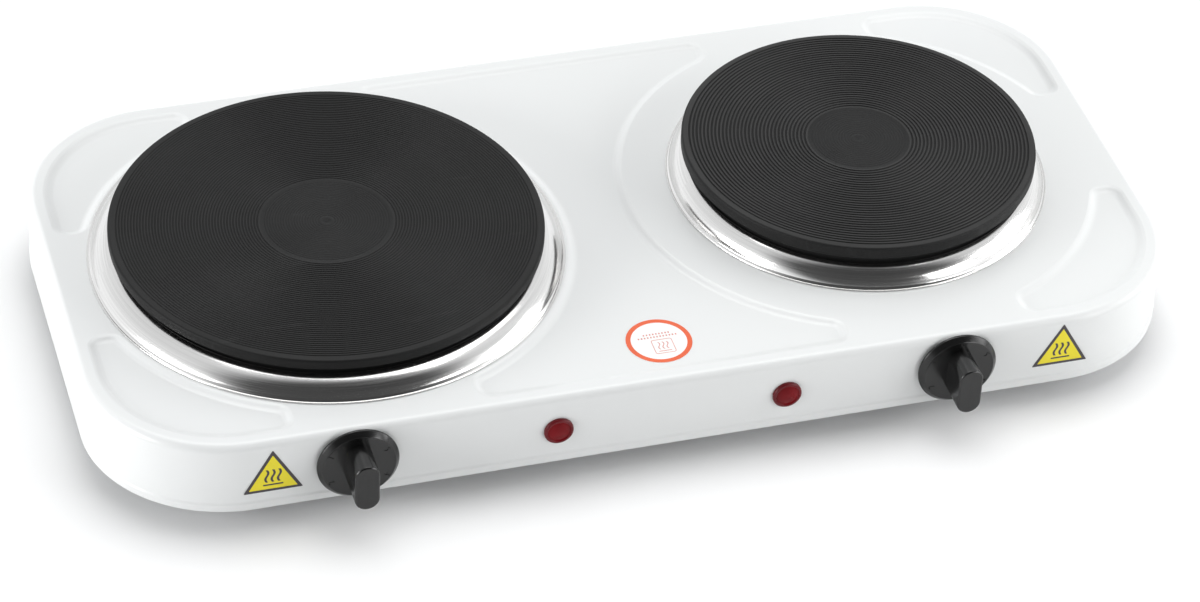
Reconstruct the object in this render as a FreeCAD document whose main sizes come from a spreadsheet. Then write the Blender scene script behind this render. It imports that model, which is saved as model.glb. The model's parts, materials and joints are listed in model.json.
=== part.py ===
"""Table-top hob with two solid hot plates, a thermostat and an indicator lamp for each.

Millimetres. X runs along the front, Y to the back, Z up. The origin is on the floor under the
middle of the whole outline, from the knobs' grips to the cord gland, so the casing's own middle
lies a little behind it. Formulas for Y count from the casing's middle, and place() adds the rest.
Every size is a cell of the sheet, and every object is bound to those cells.
"""
import FreeCAD, Part
import math
import os
import re

import Sketcher

Vector = FreeCAD.Vector
doc = FreeCAD.newDocument("hot_plate_burner")
sheet = doc.addObject("Spreadsheet::Sheet", "sizes")

SIZES = {
    # casing: one pressed sheet, open underneath, with an inward flange
    "casing_length": 473, "casing_depth": 233.4, "casing_corner": 60, "casing_top": 44,
    "casing_bottom": 10, "wall": 0.8, "edge_round": 3, "flange_width": 10,
    # fields pressed into the casing top
    "field_depth": 1.6, "field_inset": 8.7, "field_arc": 104.5, "field_gap": 40, "field_side_gap": 36,
    "field_round": 4.5,
    # burners: distance of each centre from the middle, then radii and heights above the casing top
    "burner_x": 119, "plate_iron": 8.5, "plate_bevel": 1.2, "boss_radius": 15, "plate_dish": 0.3,
    "large_radius": 92.5, "large_rise": 15.4, "large_edge": 4.5, "large_neck": 89, "large_foot": 86.5,
    "large_seat": 3.5, "large_base": -2, "large_hole": 96, "large_well": 82, "large_dish": 28,
    "small_radius": 77.5, "small_rise": 18.6, "small_edge": 5.5, "small_neck": 73.5, "small_foot": 71,
    "small_seat": 5.7, "small_base": 2, "small_hole": 79, "small_well": 67, "small_dish": 22,
    # overfall rims
    "rim_sheet": 0.6, "rim_inner_bend": 1, "rim_play": 0.6,
    "large_crest": 7.6, "large_rim_out": 100.3, "large_lip": 101.7, "large_rim_bend": 15.5,
    "small_crest": 8.6, "small_rim_out": 82.5, "small_lip": 83.7, "small_rim_bend": 12,
    # heating coils and what closes each plate underneath
    "coil_wire": 2.2, "coil_depth": 4.2, "large_coil": 28, "large_pitch": 14, "small_coil": 24,
    "small_pitch": 12, "pin_radius": 1, "pin_bottom": 34, "bead_radius": 2.4, "bead_bottom": 37,
    "cover_sheet": 0.8, "stud_radius": 2.5, "stud_bottom": 27, "stud_grip": 7, "thread_play": 0.05,
    "nut_flats": 8, "nut_height": 4, "strap_level": 36, "strap_sheet": 1.5, "strap_width": 22,
    "strap_land": 5, "strap_slope": 13.5,
    # base, screws and feet
    "base_margin": 3, "base_sheet": 0.8, "slot_length": 46, "slot_width": 4, "slot_step": 14,
    "base_screw_x": 165, "base_screw_y": 110.5, "base_screw": 1.5, "screw_head": 3.5, "screw_top": 16,
    "foot_x": 185, "foot_y": 75, "foot_radius": 9.5, "foot_waist": 8, "foot_bore": 5,
    "foot_recess": 4, "foot_screw": 2, "foot_head": 4,
    # controls on the front wall
    "knob_left_x": -133.8, "knob_right_x": 125.4, "knob_z": 27.7, "knob_gap": 1.2,
    "skirt_radius": 17.25, "skirt_depth": 3.2, "skirt_bevel": 2, "skirt_wall": 1.4, "hub_radius": 5.6,
    "hub_gap": 0.9, "grip_half_width": 5.2, "grip_half_height": 11.3, "grip_length": 14, "grip_round": 1,
    # knob spindle, its bush and the push pin: distances run back from the outer face of the wall
    "spindle_radius": 3, "running_play": 0.05, "flat_height": 1.6, "bore_depth": 13,
    "spindle_front": -13.5, "bush_front": -0.5, "bush_radius": 4.2, "bush_hole": 5, "bush_head": 6.5,
    "bush_head_depth": 2, "bush_back": 10.7, "collar_radius": 4.4, "collar_play": 0.2,
    "spindle_back": 18.5, "drive_radius": 2.6, "socket_front": 13.2, "push_radius": 1.5,
    "push_front": 13.7, "push_back": 20.5,
    # thermostat: frame plate, ceramic body and the strips that it clamps
    "frame_sheet": 1.2, "frame_left": 17, "frame_right": 26, "frame_half": 9,
    "stack_left": 14, "stack_right": 24, "stack_half": 6, "stack_back": 33,
    "blade_sheet": 0.4, "blade_half": 3, "tab_x": 30, "moving_blade": 21.6, "fixed_blade": 24.6,
    "bimetal": 28.8, "bimetal_sheet": 0.8, "contact_radius": 1.8, "contact_height": 1,
    "contact_x": 7, "moving_tip": -4, "fixed_tip": 3, "bimetal_tip": -10, "fixing_x": 11.5,
    "fixing_screw": 2, "fixing_head": 3.5, "fixing_head_height": 1.5, "fixing_length": 5,
    # indicator lamps
    "lamp_left_x": -48.6, "lamp_right_x": 50.4, "lamp_z": 26.6, "lamp_hole": 5.2, "lens_radius": 6.3, "lens_tube": 5,
    "lens_wall": 0.8, "lens_rim": 1, "lens_dome": 2.2, "lens_length": 14, "bulb_radius": 3,
    "bulb_length": 11, "clip_radius": 8, "clip_sheet": 0.5,
    # mains entry
    "gland_x": 40, "gland_z": 24, "gland_neck": 6.5, "gland_flange": 9, "gland_bore": 3.6,
    "gland_lip": 2.8, "block_half": 16, "block_front": 78, "block_back": 96, "block_height": 16,
    "pole_pitch": 10, "pole_half": 3.2, "pole_z": 20, "pole_half_height": 2, "clamp_radius": 1.9,
    "earth_x": 36, "earth_y": 88,
    # stickers: two triangles on the front wall and a disc in the middle field
    "sticker_sheet": 0.2, "sign_left_x": -168.8, "sign_right_x": 173, "sign_left_low": 18.4,
    "sign_right_low": 19.4, "sign_half": 12.4, "sign_height": 21.5,
    "disc_x": 2, "disc_y": -89.5, "disc_radius": 14,
    # internal leads
    "lead_radius": 1.3, "lead_low": 14, "lead_high": 20,
}

for row, (alias, size) in enumerate(SIZES.items(), 1):
    sheet.set("A%d" % row, alias)
    sheet.set("B%d" % row, str(size))
    sheet.setAlias("B%d" % row, alias)
doc.recompute()

SIZE_NAME = re.compile(r"\b(%s)\b" % "|".join(sorted(SIZES, key=len, reverse=True)))
# from the middle of the whole outline to the middle of the casing
CENTRE_Y = "(knob_gap + skirt_depth + grip_length - gland_lip) / 2"
PARTS = {}


# ---------------------------------------------------------------- expressions
def cells(formula):
    """The formula with each size name turned into a reference to the sheet."""
    return SIZE_NAME.sub(r"sizes.\1", str(formula))


def number(formula):
    """The formula's value in millimetres."""
    return float(sheet.evalExpression(cells(formula)))


def bind(item, **formulas):
    for name, formula in formulas.items():
        item.setExpression(name, cells(formula))
    return item


def place(item, x="0", y="0", z="0"):
    """Puts an object at a point given from the floor under the casing's middle."""
    for axis, formula in zip("xyz", (x, "%s + (%s)" % (CENTRE_Y, y), z)):
        item.setExpression("Placement.Base." + axis, cells(formula))
    return item


def publish(item, node):
    """Names the sub-part that this object is."""
    item.Label = node
    PARTS[node] = item
    return item


# ---------------------------------------------------------------- sketches and body features
def new_body():
    return doc.addObject("PartDesign::Body", "body")


def new_sketch(body, plane, level=None):
    """An empty sketch on one of the body's own planes, raised along its normal by level."""
    sketch = body.newObject("Sketcher::SketchObject", "profile")
    base = [item for item in body.Origin.OriginFeatures if item.Role == plane + "_Plane"][0]
    sketch.AttachmentSupport = [(base, "")]
    sketch.MapMode = "FlatFace"
    if level is not None:
        sketch.setExpression(".AttachmentOffset.Base.z", cells(level))
    return sketch


def fix(sketch, kind, geometry, point, formula):
    """Holds one coordinate of a sketch point at the formula's value."""
    datum = Sketcher.Constraint(kind, -1, 1, geometry, point, number(formula))
    index = sketch.addConstraint(datum)
    if SIZE_NAME.search(str(formula)):
        sketch.setExpression("Constraints[%d]" % index, cells(formula))


def arc_between(start, end, radius, turn):
    """Arc from start to end, counter-clockwise where turn is 1 and clockwise where it is -1."""
    chord = end - start
    rise = math.sqrt(max(radius ** 2 - chord.Length ** 2 / 4, 0))
    left = Vector(-chord.y, chord.x, 0).normalize()
    centre = (start + end) / 2 + left * rise * turn
    first, last = (start, end) if turn > 0 else (end, start)
    angles = [math.atan2(point.y - centre.y, point.x - centre.x) for point in (first, last)]
    if angles[1] < angles[0]:
        angles[1] += 2 * math.pi
    return Part.ArcOfCircle(Part.Circle(centre, Vector(0, 0, 1), radius), *angles)


def draw(sketch, corners):
    """Closed outline. A corner is (x, y), or (x, y, radius, turn) where an arc leaves it."""
    first = sketch.GeometryCount
    count = len(corners)
    points = [Vector(number(corner[0]), number(corner[1]), 0) for corner in corners]
    ends = []
    for index, corner in enumerate(corners):
        start, end = points[index], points[(index + 1) % count]
        if len(corner) == 2:
            sketch.addGeometry(Part.LineSegment(start, end), False)
            ends.append((1, 2))
        else:
            sketch.addGeometry(arc_between(start, end, number(corner[2]), corner[3]), False)
            ends.append((1, 2) if corner[3] > 0 else (2, 1))
    for index in range(count):
        after = (index + 1) % count
        joint = (first + index, ends[index][1], first + after, ends[after][0])
        sketch.addConstraint(Sketcher.Constraint("Coincident", *joint))
    for index, corner in enumerate(corners):
        fix(sketch, "DistanceX", first + index, ends[index][0], corner[0])
        fix(sketch, "DistanceY", first + index, ends[index][0], corner[1])
        if len(corner) > 2:
            bend = Sketcher.Constraint("Radius", first + index, number(corner[2]))
            datum = sketch.addConstraint(bend)
            sketch.setExpression("Constraints[%d]" % datum, cells(corner[2]))
    return sketch


def circle(sketch, x, y, radius):
    """A circle held by its centre and radius."""
    centre = Vector(number(x), number(y), 0)
    index = sketch.addGeometry(Part.Circle(centre, Vector(0, 0, 1), number(radius)), False)
    fix(sketch, "DistanceX", index, 3, x)
    fix(sketch, "DistanceY", index, 3, y)
    datum = sketch.addConstraint(Sketcher.Constraint("Radius", index, number(radius)))
    sketch.setExpression("Constraints[%d]" % datum, cells(radius))
    return sketch


def rectangle(sketch, low_x, high_x, low_y, high_y):
    return draw(sketch, [(low_x, low_y), (high_x, low_y), (high_x, high_y), (low_x, high_y)])


def rounded_rectangle(sketch, half_x, half_y, radius):
    """Rectangle about the origin with round corners."""
    near_x = "%s - (%s)" % (half_x, radius)
    near_y = "%s - (%s)" % (half_y, radius)
    low_x, low_y = "-(%s)" % near_x, "-(%s)" % near_y
    return draw(sketch, [
        (low_x, "-(%s)" % half_y), (near_x, "-(%s)" % half_y, radius, 1),
        (half_x, low_y), (half_x, near_y, radius, 1),
        (near_x, half_y), (low_x, half_y, radius, 1),
        ("-(%s)" % half_x, near_y), ("-(%s)" % half_x, low_y, radius, 1)])


def pad(body, sketch, length, midplane=False):
    feature = body.newObject("PartDesign::Pad", "pad")
    feature.Profile = sketch
    feature.setExpression("Length", cells(length))
    if midplane:
        feature.SideType = "Symmetric"
    return feature


def pocket(body, sketch, depth, reverse=False, midplane=False):
    """Cuts the sketch into the body and makes sure that something was cut."""
    doc.recompute()
    before = body.Shape.Volume
    feature = body.newObject("PartDesign::Pocket", "pocket")
    feature.Profile = sketch
    feature.setExpression("Length", cells(depth))
    feature.Reversed = reverse
    if midplane:
        feature.SideType = "Symmetric"
    doc.recompute()
    if body.Shape.Volume > before - 1e-6:
        raise RuntimeError("a pocket in %s cuts nothing" % body.Label)
    return feature


def revolved(plane, axis, corners):
    """A body turned about an axis of its own sketch plane."""
    body = new_body()
    sketch = draw(new_sketch(body, plane), corners)
    feature = body.newObject("PartDesign::Revolution", "turning")
    feature.Profile = sketch
    feature.ReferenceAxis = (sketch, [axis])
    feature.Angle = 360
    return body


def dress(body, kind, formula, chosen):
    """Fillet or chamfer on the edges that pass the test."""
    doc.recompute()
    base = body.Tip
    names = ["Edge%d" % index for index, edge in enumerate(base.Shape.Edges, 1) if chosen(edge)]
    feature = body.newObject("PartDesign::" + kind, kind.lower())
    feature.Base = (base, names)
    feature.setExpression("Radius" if kind == "Fillet" else "Size", cells(formula))
    return feature


def at_level(axis, formula):
    """Test for an edge that lies wholly at one coordinate."""
    level = number(formula)

    def lies_there(edge):
        box = edge.BoundBox
        low, high = getattr(box, axis + "Min"), getattr(box, axis + "Max")
        return abs(low - level) < 1e-4 and abs(high - level) < 1e-4
    return lies_there


# ---------------------------------------------------------------- primitives and booleans
def box(low_x, high_x, low_y, high_y, low_z, high_z):
    item = doc.addObject("Part::Box", "block")
    bind(item, Length="%s - (%s)" % (high_x, low_x), Width="%s - (%s)" % (high_y, low_y),
         Height="%s - (%s)" % (high_z, low_z))
    return place(item, low_x, low_y, low_z)


def rod(axis, x, y, z, radius, length):
    """Cylinder that starts at a point and runs along +X, +Y or +Z."""
    item = doc.addObject("Part::Cylinder", "rod")
    bind(item, Radius=radius, Height=length)
    turns = {"X": (Vector(0, 1, 0), 90), "Y": (Vector(1, 0, 0), -90), "Z": (Vector(0, 0, 1), 0)}
    item.Placement.Rotation = FreeCAD.Rotation(*turns[axis])
    return place(item, x, y, z)


def union(*pieces):
    item = doc.addObject("Part::MultiFuse", "union")
    item.Shapes = list(pieces)
    return item


def cut(base, *tools):
    item = doc.addObject("Part::Cut", "cut")
    item.Base = base
    item.Tool = tools[0] if len(tools) == 1 else union(*tools)
    return item


def group(pieces):
    """Separate solids that share one node."""
    item = doc.addObject("Part::Compound", "group")
    item.Links = list(pieces)
    return item


# ---------------------------------------------------------------- casing, base and feet
def corner_field(side, end):
    """Outline of the pressed field in one corner of the casing top."""
    def x(formula):
        return "%d * (%s)" % (side, formula)

    def y(formula):
        return "%d * (%s)" % (end, formula)

    arc_y = "sqrt(field_arc ^ 2 - field_gap ^ 2)"
    arc_x = "burner_x + sqrt(field_arc ^ 2 - field_side_gap ^ 2)"
    far_x, far_y = "casing_length / 2 - field_inset", "casing_depth / 2 - field_inset"
    round_x, round_y = "casing_length / 2 - casing_corner", "casing_depth / 2 - casing_corner"
    near_x, turn = "burner_x + field_gap", side * end
    return [
        (x(near_x), y(arc_y)), (x(near_x), y(far_y)),
        (x(round_x), y(far_y), "casing_corner - field_inset", -turn),
        (x(far_x), y(round_y)), (x(far_x), y("field_side_gap")),
        (x(arc_x), y("field_side_gap"), "field_arc", turn)]


def middle_field():
    """Outline of the pressed field between the burners."""
    near_x, arc_y = "burner_x - field_gap", "sqrt(field_arc ^ 2 - field_gap ^ 2)"
    far_y = "casing_depth / 2 - field_inset"
    return [
        ("-(%s)" % near_x, "-(%s)" % far_y), (near_x, "-(%s)" % far_y),
        (near_x, "-" + arc_y, "field_arc", -1), (near_x, arc_y), (near_x, far_y),
        ("-(%s)" % near_x, far_y), ("-(%s)" % near_x, arc_y, "field_arc", -1),
        ("-(%s)" % near_x, "-" + arc_y)]


def base_screw_places():
    return [(x, y) for x in ("-base_screw_x", "0", "base_screw_x") for y in ("-base_screw_y", "base_screw_y")]


def at_field_end(under):
    """Test for an upright edge where a pressed field stops short of the middle of a side.

    The sheet's upper face has under at zero, and its lower face has it at the sheet's thickness.
    """
    burner, offset = number("burner_x"), number(under)
    gap, side_gap = number("field_gap") - offset, number("field_side_gap") - offset
    low = number("casing_top - field_depth - (%s)" % under)

    def stands_there(edge):
        box = edge.BoundBox
        upright = box.ZLength > 1 and box.XLength < 1e-4 and box.YLength < 1e-4
        by_burner = abs(abs(abs(box.Center.x) - burner) - gap) < 1e-4
        by_side = abs(abs(box.Center.y) - side_gap) < 1e-4
        return upright and abs(box.ZMin - low) < 1e-4 and (by_burner or by_side)
    return stands_there


def make_top_casing():
    body = new_body()
    sketch = new_sketch(body, "XY", "casing_bottom")
    rounded_rectangle(sketch, "casing_length / 2", "casing_depth / 2", "casing_corner")
    pad(body, sketch, "casing_top - casing_bottom")
    dress(body, "Fillet", "edge_round", at_level("Z", "casing_top"))
    fields = [corner_field(side, end) for side in (-1, 1) for end in (-1, 1)] + [middle_field()]
    for outline in fields:
        pocket(body, draw(new_sketch(body, "XY", "casing_top"), outline), "field_depth")
    base = body.Tip
    bottom = number("casing_bottom")
    names = ["Face%d" % index for index, face in enumerate(base.Shape.Faces, 1)
             if abs(face.BoundBox.ZMax - bottom) < 1e-4]
    shell = body.newObject("PartDesign::Thickness", "shell")
    shell.Base = (base, names)
    shell.Reversed = True
    shell.Join = "Intersection"
    shell.setExpression("Value", cells("wall"))
    dress(body, "Fillet", "field_round", at_field_end("0"))
    dress(body, "Fillet", "field_round + wall", at_field_end("wall"))
    flange = new_sketch(body, "XY", "casing_bottom")
    rounded_rectangle(flange, "casing_length / 2 - wall / 2", "casing_depth / 2 - wall / 2",
                      "casing_corner - wall / 2")
    rounded_rectangle(flange, "casing_length / 2 - wall - flange_width",
                      "casing_depth / 2 - wall - flange_width", "casing_corner - wall - flange_width")
    pad(body, flange, "wall")
    for x, radius in (("-burner_x", "large_hole"), ("burner_x", "small_hole")):
        pocket(body, circle(new_sketch(body, "XY", "casing_top"), x, "0", radius), "field_depth + 2 * wall")
    for x, y in base_screw_places():
        hole = circle(new_sketch(body, "XY", "casing_bottom + wall"), x, y, "base_screw + thread_play")
        pocket(body, hole, "wall")
    front = new_sketch(body, "XZ", "casing_depth / 2")
    for x in ("knob_left_x", "knob_right_x"):
        circle(front, x, "knob_z", "bush_hole")
        for side in (-1, 1):
            circle(front, "%s + %d * fixing_x" % (x, side), "knob_z", "fixing_screw + thread_play")
    for x in ("lamp_left_x", "lamp_right_x"):
        circle(front, x, "lamp_z", "lamp_hole")
    pocket(body, front, "2 * wall")
    back = circle(new_sketch(body, "XZ", "-casing_depth / 2"), "gland_x", "gland_z", "gland_neck")
    pocket(body, back, "2 * wall", reverse=True)
    publish(place(body), "top_casing")


def make_base_plate():
    body = new_body()
    sketch = new_sketch(body, "XY", "casing_bottom - base_sheet")
    rounded_rectangle(sketch, "casing_length / 2 - base_margin", "casing_depth / 2 - base_margin",
                      "casing_corner - base_margin")
    pad(body, sketch, "base_sheet")
    holes = new_sketch(body, "XY", "casing_bottom")
    for x, y in base_screw_places():
        circle(holes, x, y, "base_screw + thread_play")
    for side in (-1, 1):
        for end in (-1, 1):
            circle(holes, "%d * foot_x" % side, "%d * foot_y" % end, "foot_screw + thread_play")
        for step in (-2, -1, 1, 2):
            x = "%d * burner_x + %d * slot_step" % (side, step)
            rectangle(holes, x + " - slot_width / 2", x + " + slot_width / 2",
                      "-slot_length / 2", "slot_length / 2")
    circle(holes, "earth_x", "earth_y", "foot_screw + thread_play")
    pocket(body, holes, "base_sheet")
    publish(place(body), "base_plate")


def make_base_screws():
    screws = []
    for x, y in base_screw_places():
        head = rod("Z", x, y, "casing_bottom - base_sheet - 2", "screw_head", "2")
        shank = rod("Z", x, y, "casing_bottom - base_sheet", "base_screw",
                    "screw_top - casing_bottom + base_sheet")
        screws.append(union(head, shank))
    publish(group(screws), "base_screws")


def make_feet():
    top = "casing_bottom - base_sheet"
    screws = []
    for end_name, end in (("front", -1), ("rear", 1)):
        for side_name, side in (("left", -1), ("right", 1)):
            body = revolved("XZ", "V_Axis", [
                ("foot_bore", "0"), ("foot_waist - 1", "0", "1", 1), ("foot_waist", "1"),
                ("foot_radius", top), ("foot_screw + thread_play", top),
                ("foot_screw + thread_play", "foot_recess"), ("foot_bore", "foot_recess")])
            x, y = "%d * foot_x" % side, "%d * foot_y" % end
            place(body, x, y)
            publish(body, "foot_%s_%s" % (end_name, side_name))
            head = rod("Z", x, y, "foot_recess - 2.4", "foot_head", "2.4")
            shank = rod("Z", x, y, "foot_recess", "foot_screw", "screw_top - foot_recess")
            screws.append(union(head, shank))
    publish(group(screws), "foot_screws")


# ---------------------------------------------------------------- burners
def burner(size, x):
    """Names of one burner's own sizes and of its heights above the floor."""
    own = {name: "%s_%s" % (size, name) for name in (
        "radius", "edge", "neck", "foot", "hole", "well", "dish", "rim_out", "lip", "rim_bend",
        "coil", "pitch")}
    own["x"] = x
    own["top"] = "casing_top + %s_rise" % size
    own["seat"] = "casing_top + %s_seat" % size
    own["base"] = "casing_top + %s_base" % size
    own["crest"] = "casing_top + %s_crest" % size
    own["roof"] = own["top"] + " - plate_iron"
    own["coil_z"] = own["roof"] + " - coil_depth"
    own["inner_pin"] = own["coil"]
    own["outer_pin"] = "-(%s + 3 * %s)" % (own["coil"], own["pitch"])
    return own


def make_plate(size, b):
    socket = "stud_radius + thread_play"
    edge_low = "%s - %s" % (b["top"], b["edge"])
    body = revolved("XZ", "V_Axis", [
        ("0", b["base"] + " + stud_grip + 1"), (socket, b["base"] + " + stud_grip + 1"),
        (socket, b["base"]), ("boss_radius", b["base"]), ("boss_radius", b["roof"]),
        (b["well"], b["roof"]), (b["well"], b["base"]), (b["foot"], b["base"]),
        (b["foot"], b["seat"]), (b["neck"], b["seat"]), (b["neck"], edge_low),
        (b["radius"], edge_low), (b["radius"], b["top"] + " - plate_bevel"),
        (b["radius"] + " - plate_bevel", b["top"]), (b["dish"], b["top"]),
        (b["dish"], b["top"] + " - plate_dish"), ("0", b["top"] + " - plate_dish")])
    place(body, b["x"])
    publish(body, size + "_hot_plate")


def make_rim(size, b):
    """Polished sheet that hangs on the plate's shoulder, humps over and lies on the casing."""
    inner, outer, bend = b["neck"] + " + rim_play", b["rim_out"], b["rim_bend"]
    foot, seat, crest, lip = b["foot"] + " + thread_play", b["seat"], b["crest"], b["lip"]
    thin_inner, thin_outer = "rim_inner_bend - rim_sheet", "%s - rim_sheet" % bend
    body = revolved("XZ", "V_Axis", [
        (lip, "casing_top"), (lip, "casing_top + rim_sheet"), (outer, "casing_top + rim_sheet", bend, 1),
        (inner + " + rim_inner_bend", crest, "rim_inner_bend", 1), (inner, crest + " - rim_inner_bend"),
        (inner, seat), (foot, seat), (foot, seat + " - rim_sheet"),
        (inner + " + rim_sheet", seat + " - rim_sheet"),
        (inner + " + rim_sheet", crest + " - rim_inner_bend", thin_inner, -1),
        (inner + " + rim_inner_bend", crest + " - rim_sheet", thin_outer, -1),
        (outer + " - rim_sheet", "casing_top")])
    place(body, b["x"])
    publish(body, size + "_plate_rim")


def make_coil(size, b):
    """Spiral of seven half turns, with a pin down from each end."""
    pieces = []
    for turn in range(7):
        half = doc.addObject("Part::Torus", "half_turn")
        bind(half, Radius1="%s + %d * %s / 2" % (b["coil"], turn, b["pitch"]), Radius2="coil_wire")
        half.Angle3 = 180
        odd = turn % 2
        half.Placement.Rotation = FreeCAD.Rotation(Vector(0, 0, 1), -90 if odd else 90)
        pieces.append(place(half, b["x"], "%d * %s / 2" % (odd, b["pitch"]), b["coil_z"]))
    for y in (b["inner_pin"], b["outer_pin"]):
        pieces.append(rod("Z", b["x"], y, "pin_bottom", "pin_radius", b["coil_z"] + " - pin_bottom"))
    return publish(union(*pieces), size + "_heating_coil")


def make_cement(size, b, coil):
    body = revolved("XZ", "V_Axis", [
        ("boss_radius", b["base"]), (b["well"], b["base"]), (b["well"], b["roof"]),
        ("boss_radius", b["roof"])])
    place(body, b["x"])
    publish(cut(body, coil), size + "_cement_fill")


def make_cover(size, b):
    """Sheet disc under the cement with a shallow turned-down edge."""
    low = b["base"] + " - cover_sheet"
    edge = b["foot"] + " - 1"
    body = revolved("XZ", "V_Axis", [
        ("stud_radius + thread_play", low), (edge + " - cover_sheet", low),
        (edge + " - cover_sheet", low + " - 1.5"), (edge, low + " - 1.5"), (edge, b["base"]),
        ("stud_radius + thread_play", b["base"])])
    for y in (b["inner_pin"], b["outer_pin"]):
        hole = circle(new_sketch(body, "XY", b["base"]), "0", y, "bead_radius")
        pocket(body, hole, "cover_sheet")
    place(body, b["x"])
    publish(body, size + "_plate_cover")


def make_beads(size, b):
    """Ceramic tubes that carry the coil's two pins through the cover."""
    beads = []
    for y in (b["inner_pin"], b["outer_pin"]):
        tube = rod("Z", b["x"], y, "bead_bottom", "bead_radius", b["base"] + " - bead_bottom")
        bore = rod("Z", b["x"], y, "bead_bottom - 1", "pin_radius", b["base"] + " - bead_bottom + 2")
        beads.append(cut(tube, bore))
    publish(group(beads), size + "_terminal_beads")


def make_strap(size, b):
    """Steel strap whose ends press up under the casing, so that the stud pulls the plate down."""
    body = new_body()
    end, land = "%s + 1.5 + strap_land" % b["hole"], "%s + 1.5" % b["hole"]
    shoulder = land + " - strap_slope"
    high, low = "casing_top - wall", "strap_level"
    upper = [(shoulder, low), (land, high), (end, high)]
    lower = [(end, high + " - strap_sheet"), (land, high + " - strap_sheet"),
             (shoulder, low + " - strap_sheet")]
    half = upper + lower
    mirrored = [("-(%s)" % x, z) for x, z in reversed(half)]
    sketch = draw(new_sketch(body, "XZ"), half + mirrored)
    pad(body, sketch, "strap_width", midplane=True)
    hole = circle(new_sketch(body, "XY", "strap_level"), "0", "0", "stud_radius + 0.25")
    pocket(body, hole, "strap_sheet")
    place(body, b["x"])
    publish(body, size + "_plate_bracket")


def make_stud(size, b):
    stud = rod("Z", b["x"], "0", "stud_bottom", "stud_radius", b["base"] + " + stud_grip - stud_bottom")
    publish(stud, size + "_plate_stud")


def nut(x, z):
    """Hexagon nut whose lower face is at z."""
    blank = doc.addObject("Part::Prism", "hexagon")
    blank.Polygon = 6
    bind(blank, Circumradius="nut_flats / sqrt(3)", Height="nut_height")
    place(blank, x, "0", z)
    return cut(blank, rod("Z", x, "0", z + " - 1", "stud_radius + thread_play", "nut_height + 2"))


def make_burners():
    nuts = []
    for size, x in (("large", "-burner_x"), ("small", "burner_x")):
        b = burner(size, x)
        make_plate(size, b)
        make_rim(size, b)
        make_cement(size, b, make_coil(size, b))
        make_cover(size, b)
        make_beads(size, b)
        make_strap(size, b)
        make_stud(size, b)
        nuts.append(nut(x, b["base"] + " - cover_sheet - nut_height"))
        nuts.append(nut(x, "strap_level - strap_sheet - nut_height"))
    publish(group(nuts), "stud_nuts")


# ---------------------------------------------------------------- knobs and thermostats
def at_wall(item, x, z):
    """Puts a sub-part drawn from the outer face of the front wall at its place on that wall."""
    return place(item, x, "-casing_depth / 2", z)


def flatted(sketch, radius, flat):
    """Outline of a round bore with one flat on its upper side."""
    reach = "sqrt((%s) ^ 2 - (%s) ^ 2)" % (radius, flat)
    return draw(sketch, [
        (reach, flat), ("-" + reach, flat, radius, 1), ("0", "-(%s)" % radius, radius, 1)])


def make_knob(side, x):
    """Moulded knob: hollow skirt, hub with a flat in its bore, and a straight grip."""
    front = "-knob_gap - skirt_depth"
    bore = "spindle_radius + running_play"
    body = revolved("YZ", "H_Axis", [
        (front, "0"), (front, "skirt_radius - skirt_bevel"), (front + " + skirt_bevel", "skirt_radius"),
        ("-knob_gap", "skirt_radius"), ("-knob_gap", "skirt_radius - skirt_wall"),
        (front + " + skirt_wall", "skirt_radius - skirt_wall"), (front + " + skirt_wall", "hub_radius"),
        ("-hub_gap", "hub_radius"), ("-hub_gap", "0")])
    half, tall = "grip_half_width", "grip_half_height"
    bend = "%s - %s" % (tall, half)
    grip = draw(new_sketch(body, "XZ", "knob_gap + skirt_depth"), [
        (half, bend, half, 1), ("0", tall, half, 1), ("-" + half, bend),
        ("-" + half, "-(%s)" % bend, half, 1), ("0", "-" + tall, half, 1), (half, "-(%s)" % bend)])
    pad(body, grip, "grip_length")
    dress(body, "Fillet", "grip_round", at_level("Y", front + " - grip_length"))
    socket = flatted(new_sketch(body, "XZ", "hub_gap"), bore, "flat_height + running_play")
    pocket(body, socket, "bore_depth", reverse=True)
    publish(at_wall(body, x, "knob_z"), "knob_" + side)


def make_spindle(side, x):
    """Steel spindle: flat for the knob, collar behind the bush, socket for the push pin."""
    collar = "bush_back + collar_play"
    body = revolved("YZ", "H_Axis", [
        ("spindle_front", "0"), ("spindle_front", "spindle_radius"), (collar, "spindle_radius"),
        (collar, "collar_radius"), (collar + " + 1", "collar_radius"), (collar + " + 1", "drive_radius"),
        ("spindle_back", "drive_radius"), ("spindle_back", "push_radius + running_play"),
        ("socket_front", "push_radius + running_play"), ("socket_front", "0")])
    flat = new_sketch(body, "XZ", "-spindle_front")
    rectangle(flat, "-spindle_radius - 1", "spindle_radius + 1", "flat_height", "spindle_radius + 1")
    pocket(body, flat, "-spindle_front + bush_front")
    publish(at_wall(body, x, "knob_z"), "thermostat_spindle_" + side)


def make_bush(side, x):
    bore = "spindle_radius + running_play"
    frame_back = "wall + frame_sheet"
    body = revolved("YZ", "H_Axis", [
        ("bush_front", bore), ("bush_front", "bush_radius"), (frame_back, "bush_radius"),
        (frame_back, "bush_head"), (frame_back + " + bush_head_depth", "bush_head"),
        (frame_back + " + bush_head_depth", "bush_radius"), ("bush_back", "bush_radius"),
        ("bush_back", bore)])
    publish(at_wall(body, x, "knob_z"), "thermostat_bush_" + side)


def make_push_pin(side, x):
    body = revolved("YZ", "H_Axis", [
        ("push_front", "0"), ("push_front", "push_radius"), ("push_back - 0.5", "push_radius"),
        ("push_back", "push_radius - 0.5"), ("push_back", "0")])
    publish(at_wall(body, x, "knob_z"), "thermostat_pin_" + side)


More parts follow.
